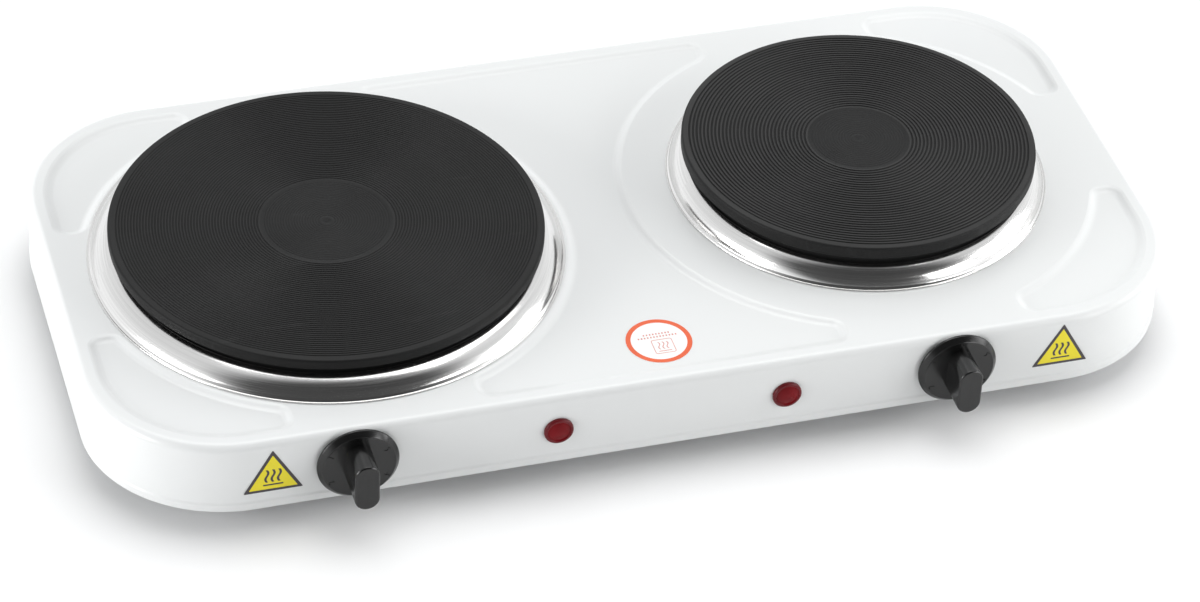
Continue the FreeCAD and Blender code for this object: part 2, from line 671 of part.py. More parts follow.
def wall_box(x, low_x, high_x, front, back, half_z):
    """Block behind the wall, given from the knob's axis and from the wall's outer face."""
    y = "-casing_depth / 2 + "
    return box("%s + %s" % (x, low_x), "%s + %s" % (x, high_x), y + front, y + back,
               "knob_z - " + half_z, "knob_z + " + half_z)


def wall_rod(x, offset, front, radius, length):
    return rod("Y", "%s + %s" % (x, offset), "-casing_depth / 2 + " + front, "knob_z", radius, length)


def make_frame(side, x):
    plate = wall_box(x, "-frame_left", "frame_right", "wall", "wall + frame_sheet", "frame_half")
    holes = [wall_rod(x, "0", "0", "bush_radius + thread_play", "4")]
    for end in (-1, 1):
        holes.append(wall_rod(x, "%d * fixing_x" % end, "0", "fixing_screw + thread_play", "4"))
    publish(cut(plate, *holes), "thermostat_bracket_" + side)


def make_strips(side, x):
    """Contact blades, bimetal strip, and the ceramic body whose slots clamp them."""
    moving = union(
        wall_box(x, "moving_tip", "tab_x", "moving_blade", "moving_blade + blade_sheet", "blade_half"),
        wall_rod(x, "contact_x", "moving_blade", "contact_radius", "blade_sheet + contact_height"))
    fixed = union(
        wall_box(x, "fixed_tip", "tab_x", "fixed_blade", "fixed_blade + blade_sheet", "blade_half"),
        wall_rod(x, "contact_x", "fixed_blade - contact_height", "contact_radius",
                 "blade_sheet + contact_height"))
    bimetal = wall_box(x, "bimetal_tip", "stack_right", "bimetal", "bimetal + bimetal_sheet",
                       "blade_half")
    block = wall_box(x, "stack_left", "stack_right", "wall + frame_sheet", "stack_back", "stack_half")
    publish(cut(block, moving, fixed, bimetal), "thermostat_body_" + side)
    publish(group([moving, fixed]), "thermostat_contacts_" + side)
    publish(bimetal, "thermostat_bimetal_" + side)


def make_thermostats():
    screws = []
    for side in ("left", "right"):
        x = "knob_%s_x" % side
        make_knob(side, x)
        make_spindle(side, x)
        make_bush(side, x)
        make_push_pin(side, x)
        make_frame(side, x)
        make_strips(side, x)
        for end in (-1, 1):
            offset = "%d * fixing_x" % end
            head = wall_rod(x, offset, "-fixing_head_height", "fixing_head", "fixing_head_height")
            shank = wall_rod(x, offset, "0", "fixing_screw", "fixing_length")
            screws.append(union(head, shank))
    publish(group(screws), "thermostat_screws")


# ---------------------------------------------------------------- indicator lamps
def make_lamp(side):
    x = "lamp_%s_x" % side
    inner = "lens_tube - lens_wall"
    crown = "(lens_radius ^ 2 + (lens_dome - lens_rim) ^ 2) / (2 * (lens_dome - lens_rim))"
    lens = revolved("YZ", "H_Axis", [
        ("-lens_dome", "0", crown, -1), ("-lens_rim", "lens_radius"), ("0", "lens_radius"),
        ("0", "lens_tube"), ("lens_length", "lens_tube"), ("lens_length", inner), ("0", inner),
        ("0", "0")])
    publish(at_wall(lens, x, "lamp_z"), "indicator_lens_" + side)
    bulb = revolved("YZ", "H_Axis", [
        ("1", "0", "bulb_radius", -1), ("1 + bulb_radius", "bulb_radius"),
        ("1 + bulb_length", "bulb_radius"), ("1 + bulb_length", "0")])
    publish(at_wall(bulb, x, "lamp_z"), "indicator_bulb_" + side)
    y = "-casing_depth / 2 + wall"
    disc = rod("Y", x, y, "lamp_z", "clip_radius", "clip_sheet")
    bore = rod("Y", x, y + " - 1", "lamp_z", "lens_tube + thread_play", "clip_sheet + 2")
    publish(cut(disc, bore), "indicator_clip_" + side)


# ---------------------------------------------------------------- stickers
def make_stickers():
    """Two upright triangles on the front wall and one disc on the floor of the middle field."""
    stickers = []
    for side in ("left", "right"):
        low = "sign_%s_low" % side
        body = new_body()
        sketch = draw(new_sketch(body, "XZ", "casing_depth / 2"), [
            ("-sign_half", low), ("sign_half", low), ("0", low + " + sign_height")])
        pad(body, sketch, "sticker_sheet")
        stickers.append(place(body, "sign_%s_x" % side))
    stickers.append(rod("Z", "disc_x", "disc_y", "casing_top - field_depth", "disc_radius",
                        "sticker_sheet"))
    publish(group(stickers), "stickers")


# ---------------------------------------------------------------- mains entry and leads
def make_gland():
    """Bush in the rear wall: flange outside, lip inside, open bore for a cord."""
    body = revolved("YZ", "H_Axis", [
        ("gland_lip", "gland_bore"), ("gland_lip", "gland_flange"), ("0", "gland_flange"),
        ("0", "gland_neck"), ("-wall", "gland_neck"), ("-wall", "gland_flange - 1"),
        ("-wall - gland_lip", "gland_flange - 1"), ("-wall - gland_lip", "gland_bore")])
    place(body, "gland_x", "casing_depth / 2", "gland_z")
    publish(body, "cord_gland")


def pole_x(pole):
    return "%d * pole_pitch" % pole


def make_terminal_block():
    """Ceramic block with three poles, each a through slot with two clamp screws from above."""
    top = "casing_bottom + block_height"
    block = box("-block_half", "block_half", "block_front", "block_back", "casing_bottom", top)
    hollows = []
    screws = []
    for pole in (-1, 0, 1):
        x = pole_x(pole)
        hollows.append(box(x + " - pole_half", x + " + pole_half", "block_front - 1", "block_back + 1",
                           "pole_z - pole_half_height", "pole_z + pole_half_height"))
        for y in ("block_front + 4", "block_back - 4"):
            hollows.append(rod("Z", x, y, "pole_z", "clamp_radius + thread_play", "block_height"))
            screws.append(rod("Z", x, y, "pole_z + lead_radius + 0.1", "clamp_radius", "6"))
    publish(cut(block, *hollows), "terminal_block")
    publish(group(screws), "terminal_screws")


def make_earth_screw():
    shank_low = "casing_bottom - base_sheet - 2"
    head = rod("Z", "earth_x", "earth_y", "casing_bottom", "screw_head", "3.6")
    shank = rod("Z", "earth_x", "earth_y", shank_low, "foot_screw", "casing_bottom - (%s)" % shank_low)
    publish(union(head, shank), "earth_screw")


def make_lead(node, route):
    """Insulated lead: straight runs joined by tangent arcs as large as the runs allow."""
    middle = Vector(0, number(CENTRE_Y), 0)
    points = [Vector(*[number(formula) for formula in point]) + middle for point in route]
    edges = []
    start = points[0]
    for before, corner, after in zip(points, points[1:], points[2:]):
        back, ahead = before - corner, after - corner
        turn = math.pi - back.getAngle(ahead)
        tangent = 0.45 * min(back.Length, ahead.Length)
        first = corner + back.normalize() * tangent
        last = corner + ahead.normalize() * tangent
        inward = (back + ahead).normalize()
        radius = tangent / math.tan(turn / 2)
        centre = corner + inward * math.hypot(radius, tangent)
        edges.append(Part.LineSegment(start, first).toShape())
        edges.append(Part.Arc(first, centre - inward * radius, last).toShape())
        start = last
    edges.append(Part.LineSegment(start, points[-1]).toShape())
    path = Part.Wire(edges)
    lead_radius = number("lead_radius")
    section = Part.Wire(Part.Circle(points[0], points[1] - points[0], lead_radius).toShape())
    tube = path.makePipeShell([section], True, True)
    expected = math.pi * lead_radius ** 2 * path.Length
    if abs(tube.Volume - expected) > 0.01 * expected:
        raise RuntimeError("%s has the wrong volume" % node)
    item = doc.addObject("Part::Feature", "lead")
    item.Shape = tube
    item.Placement = FreeCAD.Placement()
    publish(item, node)


def make_leads():
    wall = "-casing_depth / 2 + "
    live_y = wall + "moving_blade + blade_sheet / 2"
    heat_y = wall + "fixed_blade + blade_sheet / 2"
    in_block = ("block_front + 7", "pole_z")
    for side, size, sign in (("left", "large", -1), ("right", "small", 1)):
        tab = "knob_%s_x + tab_x" % side
        b = burner(size, "%d * burner_x" % sign)
        entry = "%d * 1.5" % sign
        live = pole_x(-1) + " + " + entry
        neutral = pole_x(0) + " + " + entry
        shift = "%d * " % sign
        make_lead("live_lead_" + side, [
            (tab, live_y, "knob_z"), (tab + " + 14", live_y, "knob_z"),
            (tab + " + 14", wall + "36", "lead_low"), (live + " + " + shift + "42", "-20", "lead_low"),
            (live + " + " + shift + "12", "36", "lead_low"), (live, "58", "lead_low"),
            (live, "70", "pole_z"), (live,) + in_block])
        make_lead("heater_lead_" + side, [
            (tab, heat_y, "knob_z"), (tab + " + 9", heat_y, "knob_z"),
            (tab + " + 9", b["outer_pin"], "knob_z"), (b["x"], b["outer_pin"], "knob_z - 2"),
            (b["x"], b["outer_pin"], "pin_bottom")])
        make_lead("neutral_lead_" + side, [
            (b["x"], b["inner_pin"], "pin_bottom"), (b["x"], b["inner_pin"], "lead_high + 2"),
            (shift + "60", "34", "lead_high + 2"), (neutral + " + " + shift + "8", "44", "lead_high + 2"),
            (neutral, "58", "pole_z"), (neutral,) + in_block])
    make_lead("earth_lead", [
        (pole_x(1), "block_front + 7", "pole_z"), (pole_x(1), "66", "pole_z"),
        ("earth_x - 12", "60", "lead_low + 1"), ("earth_x", "66", "casing_bottom + 1.5"),
        ("earth_x", "earth_y - screw_head", "casing_bottom + 1.5")])


# ---------------------------------------------------------------- build, check and write
make_top_casing()
make_base_plate()
make_base_screws()
make_feet()
make_burners()
make_thermostats()
make_lamp("left")
make_lamp("right")
make_stickers()
make_gland()
make_terminal_block()
make_earth_screw()
make_leads()
doc.recompute()

for item in doc.Objects:
    if "Invalid" in item.State or "Error" in item.State:
        raise RuntimeError("%s (%s) failed: %s" % (item.Name, item.Label, item.State))
for node, item in PARTS.items():
    if item.Shape.isNull() or not item.Shape.isValid() or not item.Shape.Solids:
        raise RuntimeError("%s has no valid solid" % node)

os.makedirs("parts", exist_ok=True)
for node, item in PARTS.items():
    item.Shape.exportStep("parts/%s.step" % node)
    print("%-28s %2d solid(s) %10.1f mm3" % (node, len(item.Shape.Solids), item.Shape.Volume))
print(len(PARTS), "nodes")
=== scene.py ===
"""Looks of a table-top hob: pressed enamel casing, two cast-iron hot plates in polished rims,
two dial knobs, two red indicator lamps and three stickers. Metres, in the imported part's own frame.
"""
import json
from math import atan2, cos, degrees, pi, radians, sin, sqrt

import bmesh
import bpy
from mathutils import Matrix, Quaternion, Vector


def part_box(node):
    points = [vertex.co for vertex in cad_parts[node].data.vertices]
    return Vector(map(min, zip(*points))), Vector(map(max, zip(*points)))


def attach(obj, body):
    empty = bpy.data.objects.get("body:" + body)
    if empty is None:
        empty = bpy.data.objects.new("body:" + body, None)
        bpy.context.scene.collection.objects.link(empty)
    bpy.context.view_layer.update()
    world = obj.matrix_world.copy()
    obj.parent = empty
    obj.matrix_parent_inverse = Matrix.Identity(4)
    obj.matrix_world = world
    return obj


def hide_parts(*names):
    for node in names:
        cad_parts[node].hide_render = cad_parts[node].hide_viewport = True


MM = 0.001
SLACK, MERGE = 0.01 * MM, 0.002 * MM  # leeway of a place, and how near corners are merged
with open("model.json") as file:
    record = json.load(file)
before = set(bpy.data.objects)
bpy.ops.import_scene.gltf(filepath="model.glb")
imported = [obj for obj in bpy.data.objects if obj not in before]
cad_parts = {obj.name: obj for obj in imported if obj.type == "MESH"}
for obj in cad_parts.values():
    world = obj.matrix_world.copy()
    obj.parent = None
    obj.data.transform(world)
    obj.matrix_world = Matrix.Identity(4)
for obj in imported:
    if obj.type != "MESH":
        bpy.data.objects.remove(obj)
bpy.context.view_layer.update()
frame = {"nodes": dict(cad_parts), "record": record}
nodes = frame["nodes"]


# ---------------------------------------------------------------- shaping by hand
def clear_selection():
    """Leaves edit mode and deselects everything, the frame's parts among them."""
    if bpy.context.object and bpy.context.object.mode == "EDIT":
        bpy.ops.object.mode_set(mode="OBJECT")
    bpy.ops.object.select_all(action="DESELECT")


def start(name):
    """Gives the primitive just added its name and opens it for shaping."""
    piece = bpy.context.object
    piece.name = name
    piece.data.name = name
    bpy.ops.object.mode_set(mode="EDIT")
    bpy.ops.mesh.select_mode(type="VERT")
    bpy.ops.mesh.select_all(action="SELECT")
    return piece


def close(piece, smooth=30):
    """Leaves edit mode with the piece's place in its mesh and its gentle edges smooth."""
    bpy.ops.object.mode_set(mode="OBJECT")
    clear_selection()
    piece.select_set(True)
    bpy.context.view_layer.objects.active = piece
    bpy.ops.object.transform_apply(location=True, rotation=True, scale=True)
    bpy.ops.object.shade_smooth_by_angle(angle=radians(smooth))
    return piece


def pick(kind, test):
    """Selects the faces, edges or verts of the open piece that pass the test, which gets world places."""
    bpy.ops.mesh.select_mode(type={"faces": "FACE", "edges": "EDGE", "verts": "VERT"}[kind])
    bpy.ops.mesh.select_all(action="DESELECT")
    piece = bpy.context.edit_object
    mesh = bmesh.from_edit_mesh(piece.data)
    place = piece.matrix_world
    getattr(mesh, kind).index_update()
    for item in getattr(mesh, kind):
        item.select_set(bool(test(item, place)))
    mesh.select_flush_mode()
    bmesh.update_edit_mesh(piece.data)


def lies_at(axis, level):
    """Test for an edge or face that lies wholly at one level of the x, y or z axis."""
    def lies_there(item, place):
        return all(abs(getattr(place @ corner.co, axis) - level) < SLACK for corner in item.verts)
    return lies_there


def stretch(about, x=1, y=1, z=1):
    """Scales what is selected about a given place."""
    bpy.ops.transform.resize(value=(x, y, z), center_override=about)


def extrude(y=0, z=0):
    bpy.ops.mesh.extrude_region_move(TRANSFORM_OT_translate={"value": (0, y, z)})


def face_outwards():
    """Merges doubled corners of the open piece and turns all its faces outwards."""
    bpy.ops.mesh.select_all(action="SELECT")
    bpy.ops.mesh.remove_doubles(threshold=MERGE)
    bpy.ops.mesh.normals_make_consistent(inside=False)


def modify(piece, kind, **settings):
    """Adds a modifier, sets it up and applies it."""
    clear_selection()
    piece.select_set(True)
    bpy.context.view_layer.objects.active = piece
    bpy.ops.object.modifier_add(type=kind)
    modifier = piece.modifiers[-1]
    for name, value in settings.items():
        setattr(modifier, name, value)
    bpy.ops.object.modifier_apply(modifier=modifier.name)


def loft(name, outlines):
    """Closed skin through outlines that have the same number of points, with both ends filled."""
    count = len(outlines[0])
    clear_selection()
    bpy.ops.mesh.primitive_circle_add(vertices=count, radius=1)
    piece = start(name)
    for level, outline in enumerate(outlines):
        if level:
            bpy.ops.mesh.select_all(action="DESELECT")
            bpy.ops.mesh.primitive_circle_add(vertices=count, radius=1)
        mesh = bmesh.from_edit_mesh(piece.data)
        for vertex, point in zip([vertex for vertex in mesh.verts if vertex.select], outline):
            vertex.co = point
        bmesh.update_edit_mesh(piece.data)
        if level:
            pick("verts", lambda vertex, place: vertex.index // count in (level - 1, level))
            bpy.ops.mesh.bridge_edge_loops()
    bpy.ops.mesh.select_all(action="SELECT")
    bpy.ops.mesh.fill_holes(sides=0)
    face_outwards()
    return close(piece)


def combine(piece, tools, operation="DIFFERENCE"):
    """Cuts the tools away from the piece, or unites them with it, and removes them."""
    for tool in tools:
        modify(piece, "BOOLEAN", object=tool, operation=operation, solver="EXACT")
        bpy.data.objects.remove(tool)


def even_shading(piece, smooth=40):
    """Flat faces keep their own normal, and the rounds between them shade smoothly."""
    clear_selection()
    piece.select_set(True)
    bpy.context.view_layer.objects.active = piece
    bpy.ops.object.shade_smooth_by_angle(angle=radians(smooth))
    modify(piece, "WEIGHTED_NORMAL", weight=80, keep_sharp=True)


def copy_of(piece, name, shift):
    """A second piece of the same shape with its own mesh, moved over by shift."""
    twin = piece.copy()
    twin.data = piece.data.copy()
    twin.name = name
    twin.data.name = name
    bpy.context.scene.collection.objects.link(twin)
    for vertex in twin.data.vertices:
        vertex.co += shift
    return twin


def drill(centre, radius, length, sides, axis="Z"):
    """Round cutter for a hole, with its middle at centre."""
    clear_selection()
    turn = (0, 0, 0) if axis == "Z" else (pi / 2, 0, 0)
    bpy.ops.mesh.primitive_cylinder_add(
        vertices=sides, radius=radius, depth=length, location=centre, rotation=turn)
    return close(start("drill"))


def turned(name, profile, centre, axis="Z", steps=192, smooth=30):
    """Turned piece: the profile's (radius, height) points spun about an axis through centre."""
    along = Vector((0, 0, 1)) if axis == "Z" else Vector((0, 1, 0))
    points = [centre + Vector((1, 0, 0)) * radius + along * height for radius, height in profile]
    clear_selection()
    bpy.ops.mesh.primitive_plane_add(size=1, location=points[0])
    piece = start(name)
    bpy.ops.mesh.merge(type="CENTER")
    for here, there in zip(points, points[1:]):
        bpy.ops.mesh.extrude_vertices_move(TRANSFORM_OT_translate={"value": there - here})
    bpy.ops.mesh.select_all(action="SELECT")
    bpy.ops.mesh.spin(steps=steps, angle=2 * pi, center=centre, axis=along)
    face_outwards()
    return close(piece, smooth)


def arc(centre, radius, first, last, steps):
    """Points of an arc in a profile, in degrees from the radius direction."""
    turns = [radians(first + (last - first) * step / steps) for step in range(steps + 1)]
    return [(centre[0] + radius * cos(turn), centre[1] + radius * sin(turn)) for turn in turns]


def finished(piece, body, node):
    """Ties a piece to its body and the part that it stands for."""
    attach(piece, body)
    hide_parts(node)


def pair_up(left, node, body):
    """Copies the left one of a pair to the right, and ties each to its own body and part."""
    shift = middle_of(node.format("right")) - middle_of(node.format("left"))
    right = copy_of(left, left.name.replace("left", "right"), shift)
    for piece, side in ((left, "left"), (right, "right")):
        finished(piece, body.format(side), node.format(side))


def paint(piece, *finishes):
    """Gives a piece its finishes, in the order of its material slots."""
    piece.data.materials.clear()
    for finish in finishes:
        piece.data.materials.append(finish)


# ---------------------------------------------------------------- node work
def wire(tree, kind, **inputs):
    """Adds a node. An input is a number, a colour, or another node's output to link."""
    node = tree.nodes.new(kind)
    for name, value in inputs.items():
        socket = node.inputs[int(name[1:])] if name[0] == "_" else node.inputs[name.replace("_", " ")]
        if isinstance(value, bpy.types.NodeSocket):
            tree.links.new(value, socket)
        else:
            socket.default_value = value
    return node


def calculate(tree, operation, *values):
    """One step of arithmetic on numbers or outputs."""
    node = wire(tree, "ShaderNodeMath", **{"_%d" % index: value for index, value in enumerate(values)})
    node.operation = operation
    return node.outputs[0]


def blend(tree, factor, first, second):
    """Mix of two colours."""
    node = tree.nodes.new("ShaderNodeMix")
    node.data_type = "RGBA"
    for name, value in (("Factor_Float", factor), ("A_Color", first), ("B_Color", second)):
        socket = next(item for item in node.inputs if item.identifier == name)
        if isinstance(value, bpy.types.NodeSocket):
            tree.links.new(value, socket)
        else:
            socket.default_value = value
    return next(item for item in node.outputs if item.identifier == "Result_Color")


def spread(tree, value, low, high, new_low, new_high):
    """Carries the range low to high softly over to the range new_low to new_high."""
    node = wire(tree, "ShaderNodeMapRange", Value=value)
    node.interpolation_type = "SMOOTHSTEP"
    for index, limit in enumerate((low, high, new_low, new_high), 1):
        node.inputs[index].default_value = limit
    return node.outputs[0]


def new_group(name, inputs, outputs):
    """Empty node group with named sockets, each a (name, kind, default)."""
    tree = bpy.data.node_groups.new(name, "ShaderNodeTree")
    for label, kind, default in inputs:
        socket = tree.interface.new_socket(label, in_out="INPUT", socket_type="NodeSocket" + kind)
        if default is not None:
            socket.default_value = default
    for label, kind in outputs:
        tree.interface.new_socket(label, in_out="OUTPUT", socket_type="NodeSocket" + kind)
    return tree, tree.nodes.new("NodeGroupInput").outputs, tree.nodes.new("NodeGroupOutput").inputs


def grain_group():
    """Fine even grain: a height for bump and a mask for tone."""
    tree, given, result = new_group(
        "surface_grain",
        [("Place", "Vector", None), ("Scale", "Float", 600.0), ("Roughness", "Float", 0.6)],
        [("Height", "Float"), ("Mask", "Float")])
    noise = wire(tree, "ShaderNodeTexNoise", Vector=given["Place"], Scale=given["Scale"], Detail=5.0,
                 Roughness=given["Roughness"])
    tree.links.new(noise.outputs["Fac"], result["Height"])
    tree.links.new(spread(tree, noise.outputs["Fac"], 0.35, 0.65, 0, 1), result["Mask"])
    return tree


def smudge_group():
    """Broad soft patches, as handling and uneven coating leave: a value from Low to High."""
    tree, given, result = new_group(
        "soft_patches",
        [("Place", "Vector", None), ("Scale", "Float", 12.0), ("Low", "Float", 0.2),
         ("High", "Float", 0.3)],
        [("Value", "Float")])
    noise = wire(tree, "ShaderNodeTexNoise", Vector=given["Place"], Scale=given["Scale"], Detail=3.0)
    even = spread(tree, noise.outputs["Fac"], 0.2, 0.8, 0, 1)
    span = calculate(tree, "SUBTRACT", given["High"], given["Low"])
    value = calculate(tree, "MULTIPLY_ADD", even, span, given["Low"])
    tree.links.new(value, result["Value"])
    return tree


def turning_group():
    """Marks of a lathe: bands that run round the Z axis of the place given."""
    tree, given, result = new_group(
        "turning_marks",
        [("Place", "Vector", None), ("Pitch", "Float", 900.0), ("Waver", "Float", 0.6)],
        [("Mask", "Float")])
    parts = wire(tree, "ShaderNodeSeparateXYZ", Vector=given["Place"])
    across = calculate(tree, "MULTIPLY", parts.outputs["X"], parts.outputs["X"])
    along = calculate(tree, "MULTIPLY_ADD", parts.outputs["Y"], parts.outputs["Y"], across)
    radius = calculate(tree, "MULTIPLY", calculate(tree, "SQRT", along), given["Pitch"])
    angle = calculate(tree, "ARCTAN2", parts.outputs["Y"], parts.outputs["X"])
    sideways = calculate(tree, "MULTIPLY", angle, given["Waver"])
    upwards = calculate(tree, "MULTIPLY", parts.outputs["Z"], given["Pitch"])
    spot = wire(tree, "ShaderNodeCombineXYZ", X=radius, Y=sideways, Z=upwards)
    noise = wire(tree, "ShaderNodeTexNoise", Vector=spot.outputs[0], Scale=1.0, Detail=3.0)
    tree.links.new(spread(tree, noise.outputs["Fac"], 0.3, 0.7, 0, 1), result["Mask"])
    return tree


GRAIN, PATCHES, TURNING = grain_group(), smudge_group(), turning_group()


def use(tree, group, **inputs):
    """Places a node group in a material and returns its outputs."""
    node = tree.nodes.new("ShaderNodeGroup")
    node.node_tree = group
    for name, value in inputs.items():
        if isinstance(value, bpy.types.NodeSocket):
            tree.links.new(value, node.inputs[name])
        else:
            node.inputs[name].default_value = value
    return node.outputs


class Finish:
    """A material under construction, with its shader and its place on the piece."""

    def __init__(self, name, centre=(0, 0, 0), **sockets):
        self.material = bpy.data.materials.new(name)
        self.material.use_nodes = True
        self.tree = self.material.node_tree
        self.shader = self.tree.nodes["Principled BSDF"]
        for label, value in sockets.items():
            self.shader.inputs[label.replace("_", " ")].default_value = value
        coordinates = self.tree.nodes.new("ShaderNodeTexCoord").outputs["Object"]
        mapping = wire(self.tree, "ShaderNodeMapping", Vector=coordinates)
        mapping.inputs["Location"].default_value = [-value for value in centre]
        self.place = mapping.outputs[0]

    def feed(self, label, output):
        self.tree.links.new(output, self.shader.inputs[label])

    def bump(self, height, distance, strength=1.0):
        node = wire(self.tree, "ShaderNodeBump", Height=height, Distance=distance, Strength=strength)
        self.feed("Normal", node.outputs[0])

    def patches(self, scale, low, high):
        return use(self.tree, PATCHES, Place=self.place, Scale=scale, Low=low, High=high)["Value"]

    def grain(self, scale, roughness=0.6):
        return use(self.tree, GRAIN, Place=self.place, Scale=scale, Roughness=roughness)

    def turning(self, pitch, waver=0.6):
        return use(self.tree, TURNING, Place=self.place, Pitch=pitch, Waver=waver)["Mask"]


def grey(value, warmth=0.0):
    """A grey, a little warm or, below zero, a little cool."""
    return (value * (1 + warmth), value, value * (1 - warmth), 1)


# ---------------------------------------------------------------- finishes
def casing_enamel():
    """Cool white powder enamel: semi-gloss, with a faint orange peel."""
    finish = Finish("casing_enamel", Coat_Weight=0.25, Coat_Roughness=0.12)
    shade = finish.patches(7, 0, 1)
    finish.feed("Base Color", blend(finish.tree, shade, (0.742, 0.752, 0.752, 1), (0.752, 0.762, 0.758, 1)))
    finish.feed("Roughness", finish.patches(15, 0.30, 0.36))
    finish.bump(finish.grain(420, 0.45)["Height"], 0.04 * MM, 0.5)
    return finish.material


def galvanised_steel():
    """Zinc-coated sheet with its crystal spangle."""
    finish = Finish("galvanised_steel", Metallic=0.9)
    tree = finish.tree
    cells = wire(tree, "ShaderNodeTexVoronoi", Vector=finish.place, Scale=140.0)
    tone = wire(tree, "ShaderNodeSeparateColor", Color=cells.outputs["Color"]).outputs[0]
    finish.feed("Base Color", blend(tree, tone, grey(0.50, -0.02), grey(0.66, -0.02)))
    finish.feed("Roughness", spread(tree, tone, 0, 1, 0.34, 0.52))
    finish.bump(finish.grain(900)["Height"], 0.02 * MM)
    return finish.material


def rim_steel(name, centre):
    """Polished stainless sheet with faint spinning marks round the burner."""
    finish = Finish(name, centre, Metallic=1.0)
    marks = finish.turning(2600, 1.5)
    finish.feed("Base Color", blend(finish.tree, marks, grey(0.74, 0.012), grey(0.83, 0.012)))
    finish.feed("Roughness", spread(finish.tree, marks, 0, 1, 0.13, 0.2))
    finish.bump(marks, 0.002 * MM)
    return finish.material


def plate_iron(name, centre, top, land):
    """Cast iron under a black heat-proof coating: painted shade darkens the groove floors and the sunk
    centre below the lands, with grain and scuffs.
    """
    finish = Finish(name, centre, Specular_IOR_Level=0.2)
    tree = finish.tree
    grain = finish.grain(2200, 0.7)
    rings = finish.turning(380, 2.0)
    height = wire(tree, "ShaderNodeSeparateXYZ", Vector=finish.place).outputs["Z"]
    # Painted shade: the mask falls from the plate's top to 0.2 mm below it, so the groove floors and the
    # sunk centre take a near-black grey instead of the land tone.
    painted_groove_shade_mask = spread(tree, height, top - 0.2 * MM, top - 0.02 * MM, 0, 1)
    base = blend(tree, painted_groove_shade_mask, grey(0.004), grey(land, 0.01))
    base = blend(tree, calculate(tree, "MULTIPLY", rings, 0.3), base, grey(0.006))
    base = blend(tree, calculate(tree, "MULTIPLY", grain["Mask"], 0.25), base, grey(land * 1.6))
    scuff_place = wire(tree, "ShaderNodeMapping", Vector=finish.place, Scale=(30, 160, 60))
    scuffs = wire(tree, "ShaderNodeTexNoise", Vector=scuff_place.outputs[0], Scale=1.0, Detail=6.0)
    scuffed = spread(tree, scuffs.outputs["Fac"], 0.66, 0.78, 0, 0.2)
    finish.feed("Base Color", blend(tree, scuffed, base, grey(0.06)))
    finish.feed("Roughness", finish.patches(25, 0.48, 0.6))
    finish.bump(grain["Height"], 0.06 * MM)
    return finish.material


def mineral(name, low, high, scale, roughness, depth):
    """Matt mineral body, such as cement or steatite."""
    finish = Finish(name, Specular_IOR_Level=0.3)
    grain = finish.grain(scale, 0.75)
    finish.feed("Base Color", blend(finish.tree, grain["Mask"], low, high))
    finish.feed("Roughness", finish.patches(60, roughness - 0.08, roughness + 0.08))
    finish.bump(grain["Height"], depth)
    return finish.material


def small_metal(name, dark, light, roughness):
    """Small plated or drawn metal parts, a little uneven in tone and gloss."""
    finish = Finish(name, Metallic=1.0)
    finish.feed("Base Color", blend(finish.tree, finish.patches(180, 0, 1), dark, light))
    finish.feed("Roughness", finish.patches(260, roughness - 0.07, roughness + 0.1))
    finish.bump(finish.grain(1500)["Height"], 0.01 * MM)
    return finish.material


def moulded(name, low, high, roughness, scale=1400, depth=0.02 * MM, **sockets):
    """Moulded plastic, rubber or insulation, with a fine mould grain."""
    finish = Finish(name, **sockets)
    finish.feed("Base Color", blend(finish.tree, finish.patches(90, 0, 1), low, high))
    finish.feed("Roughness", finish.patches(130, roughness - 0.05, roughness + 0.06))
    finish.bump(finish.grain(scale)["Height"], depth)
    return finish.material


def middle_of(node):
    low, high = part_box(node)
    return (low + high) / 2


def burner_centre(size):
    """Point on the floor under the middle of a hot plate."""
    middle = middle_of(size + "_hot_plate")
    return Vector((middle.x, middle.y, 0))


